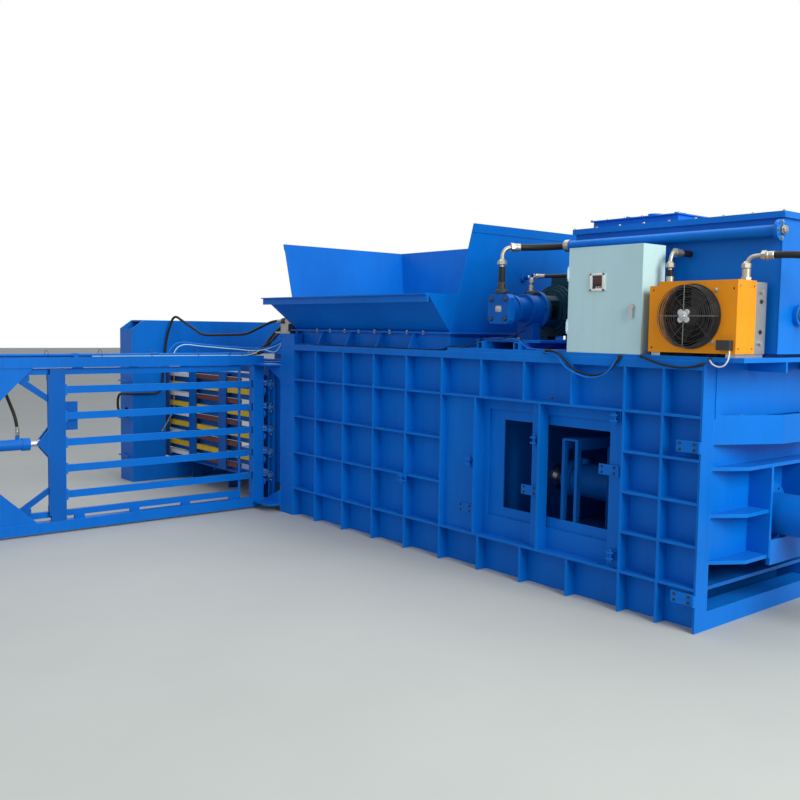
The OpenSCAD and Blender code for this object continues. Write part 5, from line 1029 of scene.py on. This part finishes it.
# press body: bolts, ears beside the needle posts, welds
earDress = dict(levels=[310 + 214 * i for i in range(5)], disc=(-2430, -776, 64, 31),
                plate=((-2440, -773, -16), (-2384, -765, 34)), roller=(-2345, -760), boltY=-773,
                boltX=(-2424, -2398), boltZ=(-4, 22), bar=((-2370, -757, -4), (-2320, -745, 4)), barZ=37)
bodyDress = dict(ribs=[-1625 + 406 * k for k in range(5)], wall=-660, shelves=(256, 583, 911, 1238),
                 flangeX=(-90, 104), flangeY=(-662, 662), flangeTop=1680, flangeUnder=1668,
                 hinges=((255, -717, 418), (865, -717, 634), (1510, -717, 853), (2085, -762, 1062),
                         (2085, -762, 191)),
                 hingeReach=((-52, 40), (-18, 18)), head=((2165, 0, 620), 154, 12),
                 crossbeam=((2171, -349, 1218), (2171, 349, 1218)), seat=2152)
weldDress = dict(ribSides=(-1.5, 15.5), starts=(0.22, 0.67), length=55, posts=[
    [(2164, -750, 6), (2164, -750, 1544)], [(2164, 750, 6), (2164, 750, 1544)],
    [(-2164, -751, 4), (-2164, -751, 1636)], [(-2153, -640, 1242), (-2153, 640, 1242)],
    [(2167, -628, 1239), (2167, 628, 1239)]])


def makeBodyBolts(d):
    across = [(x + dx, y) for x in d["ribs"][:4] for dx in d["flangeX"] for y in d["flangeY"]]
    flange = [((x, y, d["flangeTop"]), (0, 0, 1)) for x, y in across]
    under = [((x, y, d["flangeUnder"]), (0, 0, -1)) for x, y in across]
    boltsAt("flangeBolts", flange + under, 9)
    reachX, reachZ = d["hingeReach"]
    hinge = [((x + dx, y, z + dz), (0, -1, 0)) for x, y, z in d["hinges"] for dx in reachX
             for dz in reachZ]
    boltsAt("hingeBolts", hinge, 6, slot="black_plastic")
    boltsAt("rearBolts", [(p, (1, 0, 0)) for p in d["crossbeam"]], 12)
    head = [((d["seat"], p.y, p.z), way) for p, way in ringSpots(*d["head"], (1, 0, 0))]
    boltsAt("cylinderBolts", head, 15, slot="black_plastic")


def makePostEars(d):
    ears, bars = bmesh.new(), bmesh.new()
    discX, discY, discDrop, r = d["disc"]

    def plates(bm, corners, z):
        plateOn(bm, *((cx, cy, z + cz) for cx, cy, cz in corners), 2)

    for z in d["levels"]:
        turnOn(ears, (discX, discY, z - discDrop), (0, 1, 0), [(0, r), (9, r)], 28)
        plates(ears, d["plate"], z)
        turnOn(ears, (*d["roller"], z), (0, -1, 0), [(-4, 24), (6, 24), (9, 20), (9, 13), (14, 12)], 24)
        for dz in (-d["barZ"], d["barZ"]):
            plates(bars, d["bar"], z + dz)
    solidPiece("postEars", ears, "blue_paint")
    spots = [((x, d["boltY"], z + dz), (0, -1, 0)) for z in d["levels"] for x in d["boltX"]
             for dz in d["boltZ"]]
    boltsAt("earBolts", spots, 5.5, slot="bright_steel")
    solidPiece("rollerBars", bars, "bright_steel")


def makeBodyWelds(d, w):
    stitches = []
    y = d["wall"] - 1
    for x in (rib + side for rib in d["ribs"] for side in w["ribSides"]):
        for low, high in zip(d["shelves"], d["shelves"][1:]):
            for part in w["starts"]:
                z = low + (high - low) * part
                stitches.append([(x, y, z), (x, y, z + w["length"])])
    beadsAlong("ribWelds", stitches, 3.5)
    beadsAlong("postWelds", w["posts"], 3)


makeBodyBolts(bodyDress)
makePostEars(earDress)
makeBodyWelds(bodyDress, weldDress)

# sight sensor on the hopper end and the pull chain at the portal
sensorPlace = dict(at=(104, 0, 2098), second=(4, 78, 24), tilt=(1, 0, 0.29))
chainLine = [(-4432, -699, 1300), (-4431, -700, 1173), (-4431, -701, 807), (-4431, -737, 702),
             (-4430, -844, 536)]
chainLink = {"Pitch": 0.013, "Wire Radius": 0.0022}


def makeSmallParts(d):
    sensor = bmesh.new()
    place, way = Vector(d["at"]), Vector(d["tilt"]).normalized()
    second = place + Vector(d["second"])
    turnOn(sensor, place, way, [(-6, 26), (8, 26), (10, 17), (52, 17), (55, 14)], 24)
    turnOn(sensor, second, way, [(-6, 19), (8, 19), (10, 12), (34, 12), (36, 10)], 24)
    solidPiece("hopperSensor", sensor, "deep_blue_paint")
    lens = bmesh.new()
    turnOn(lens, place + way * 54, way, [(0, 10), (2, 10), (3, 8)], 20)
    turnOn(lens, second + way * 35, way, [(0, 8), (2, 8), (3, 6)], 20)
    solidPiece("sensorGlass", lens, "nylon")
    grown("pullChain", chain, lineMesh("pullChain", [chainLine]), chainLink, "zinc_plate")


makeSmallParts(sensorPlace)
print("body dressed")
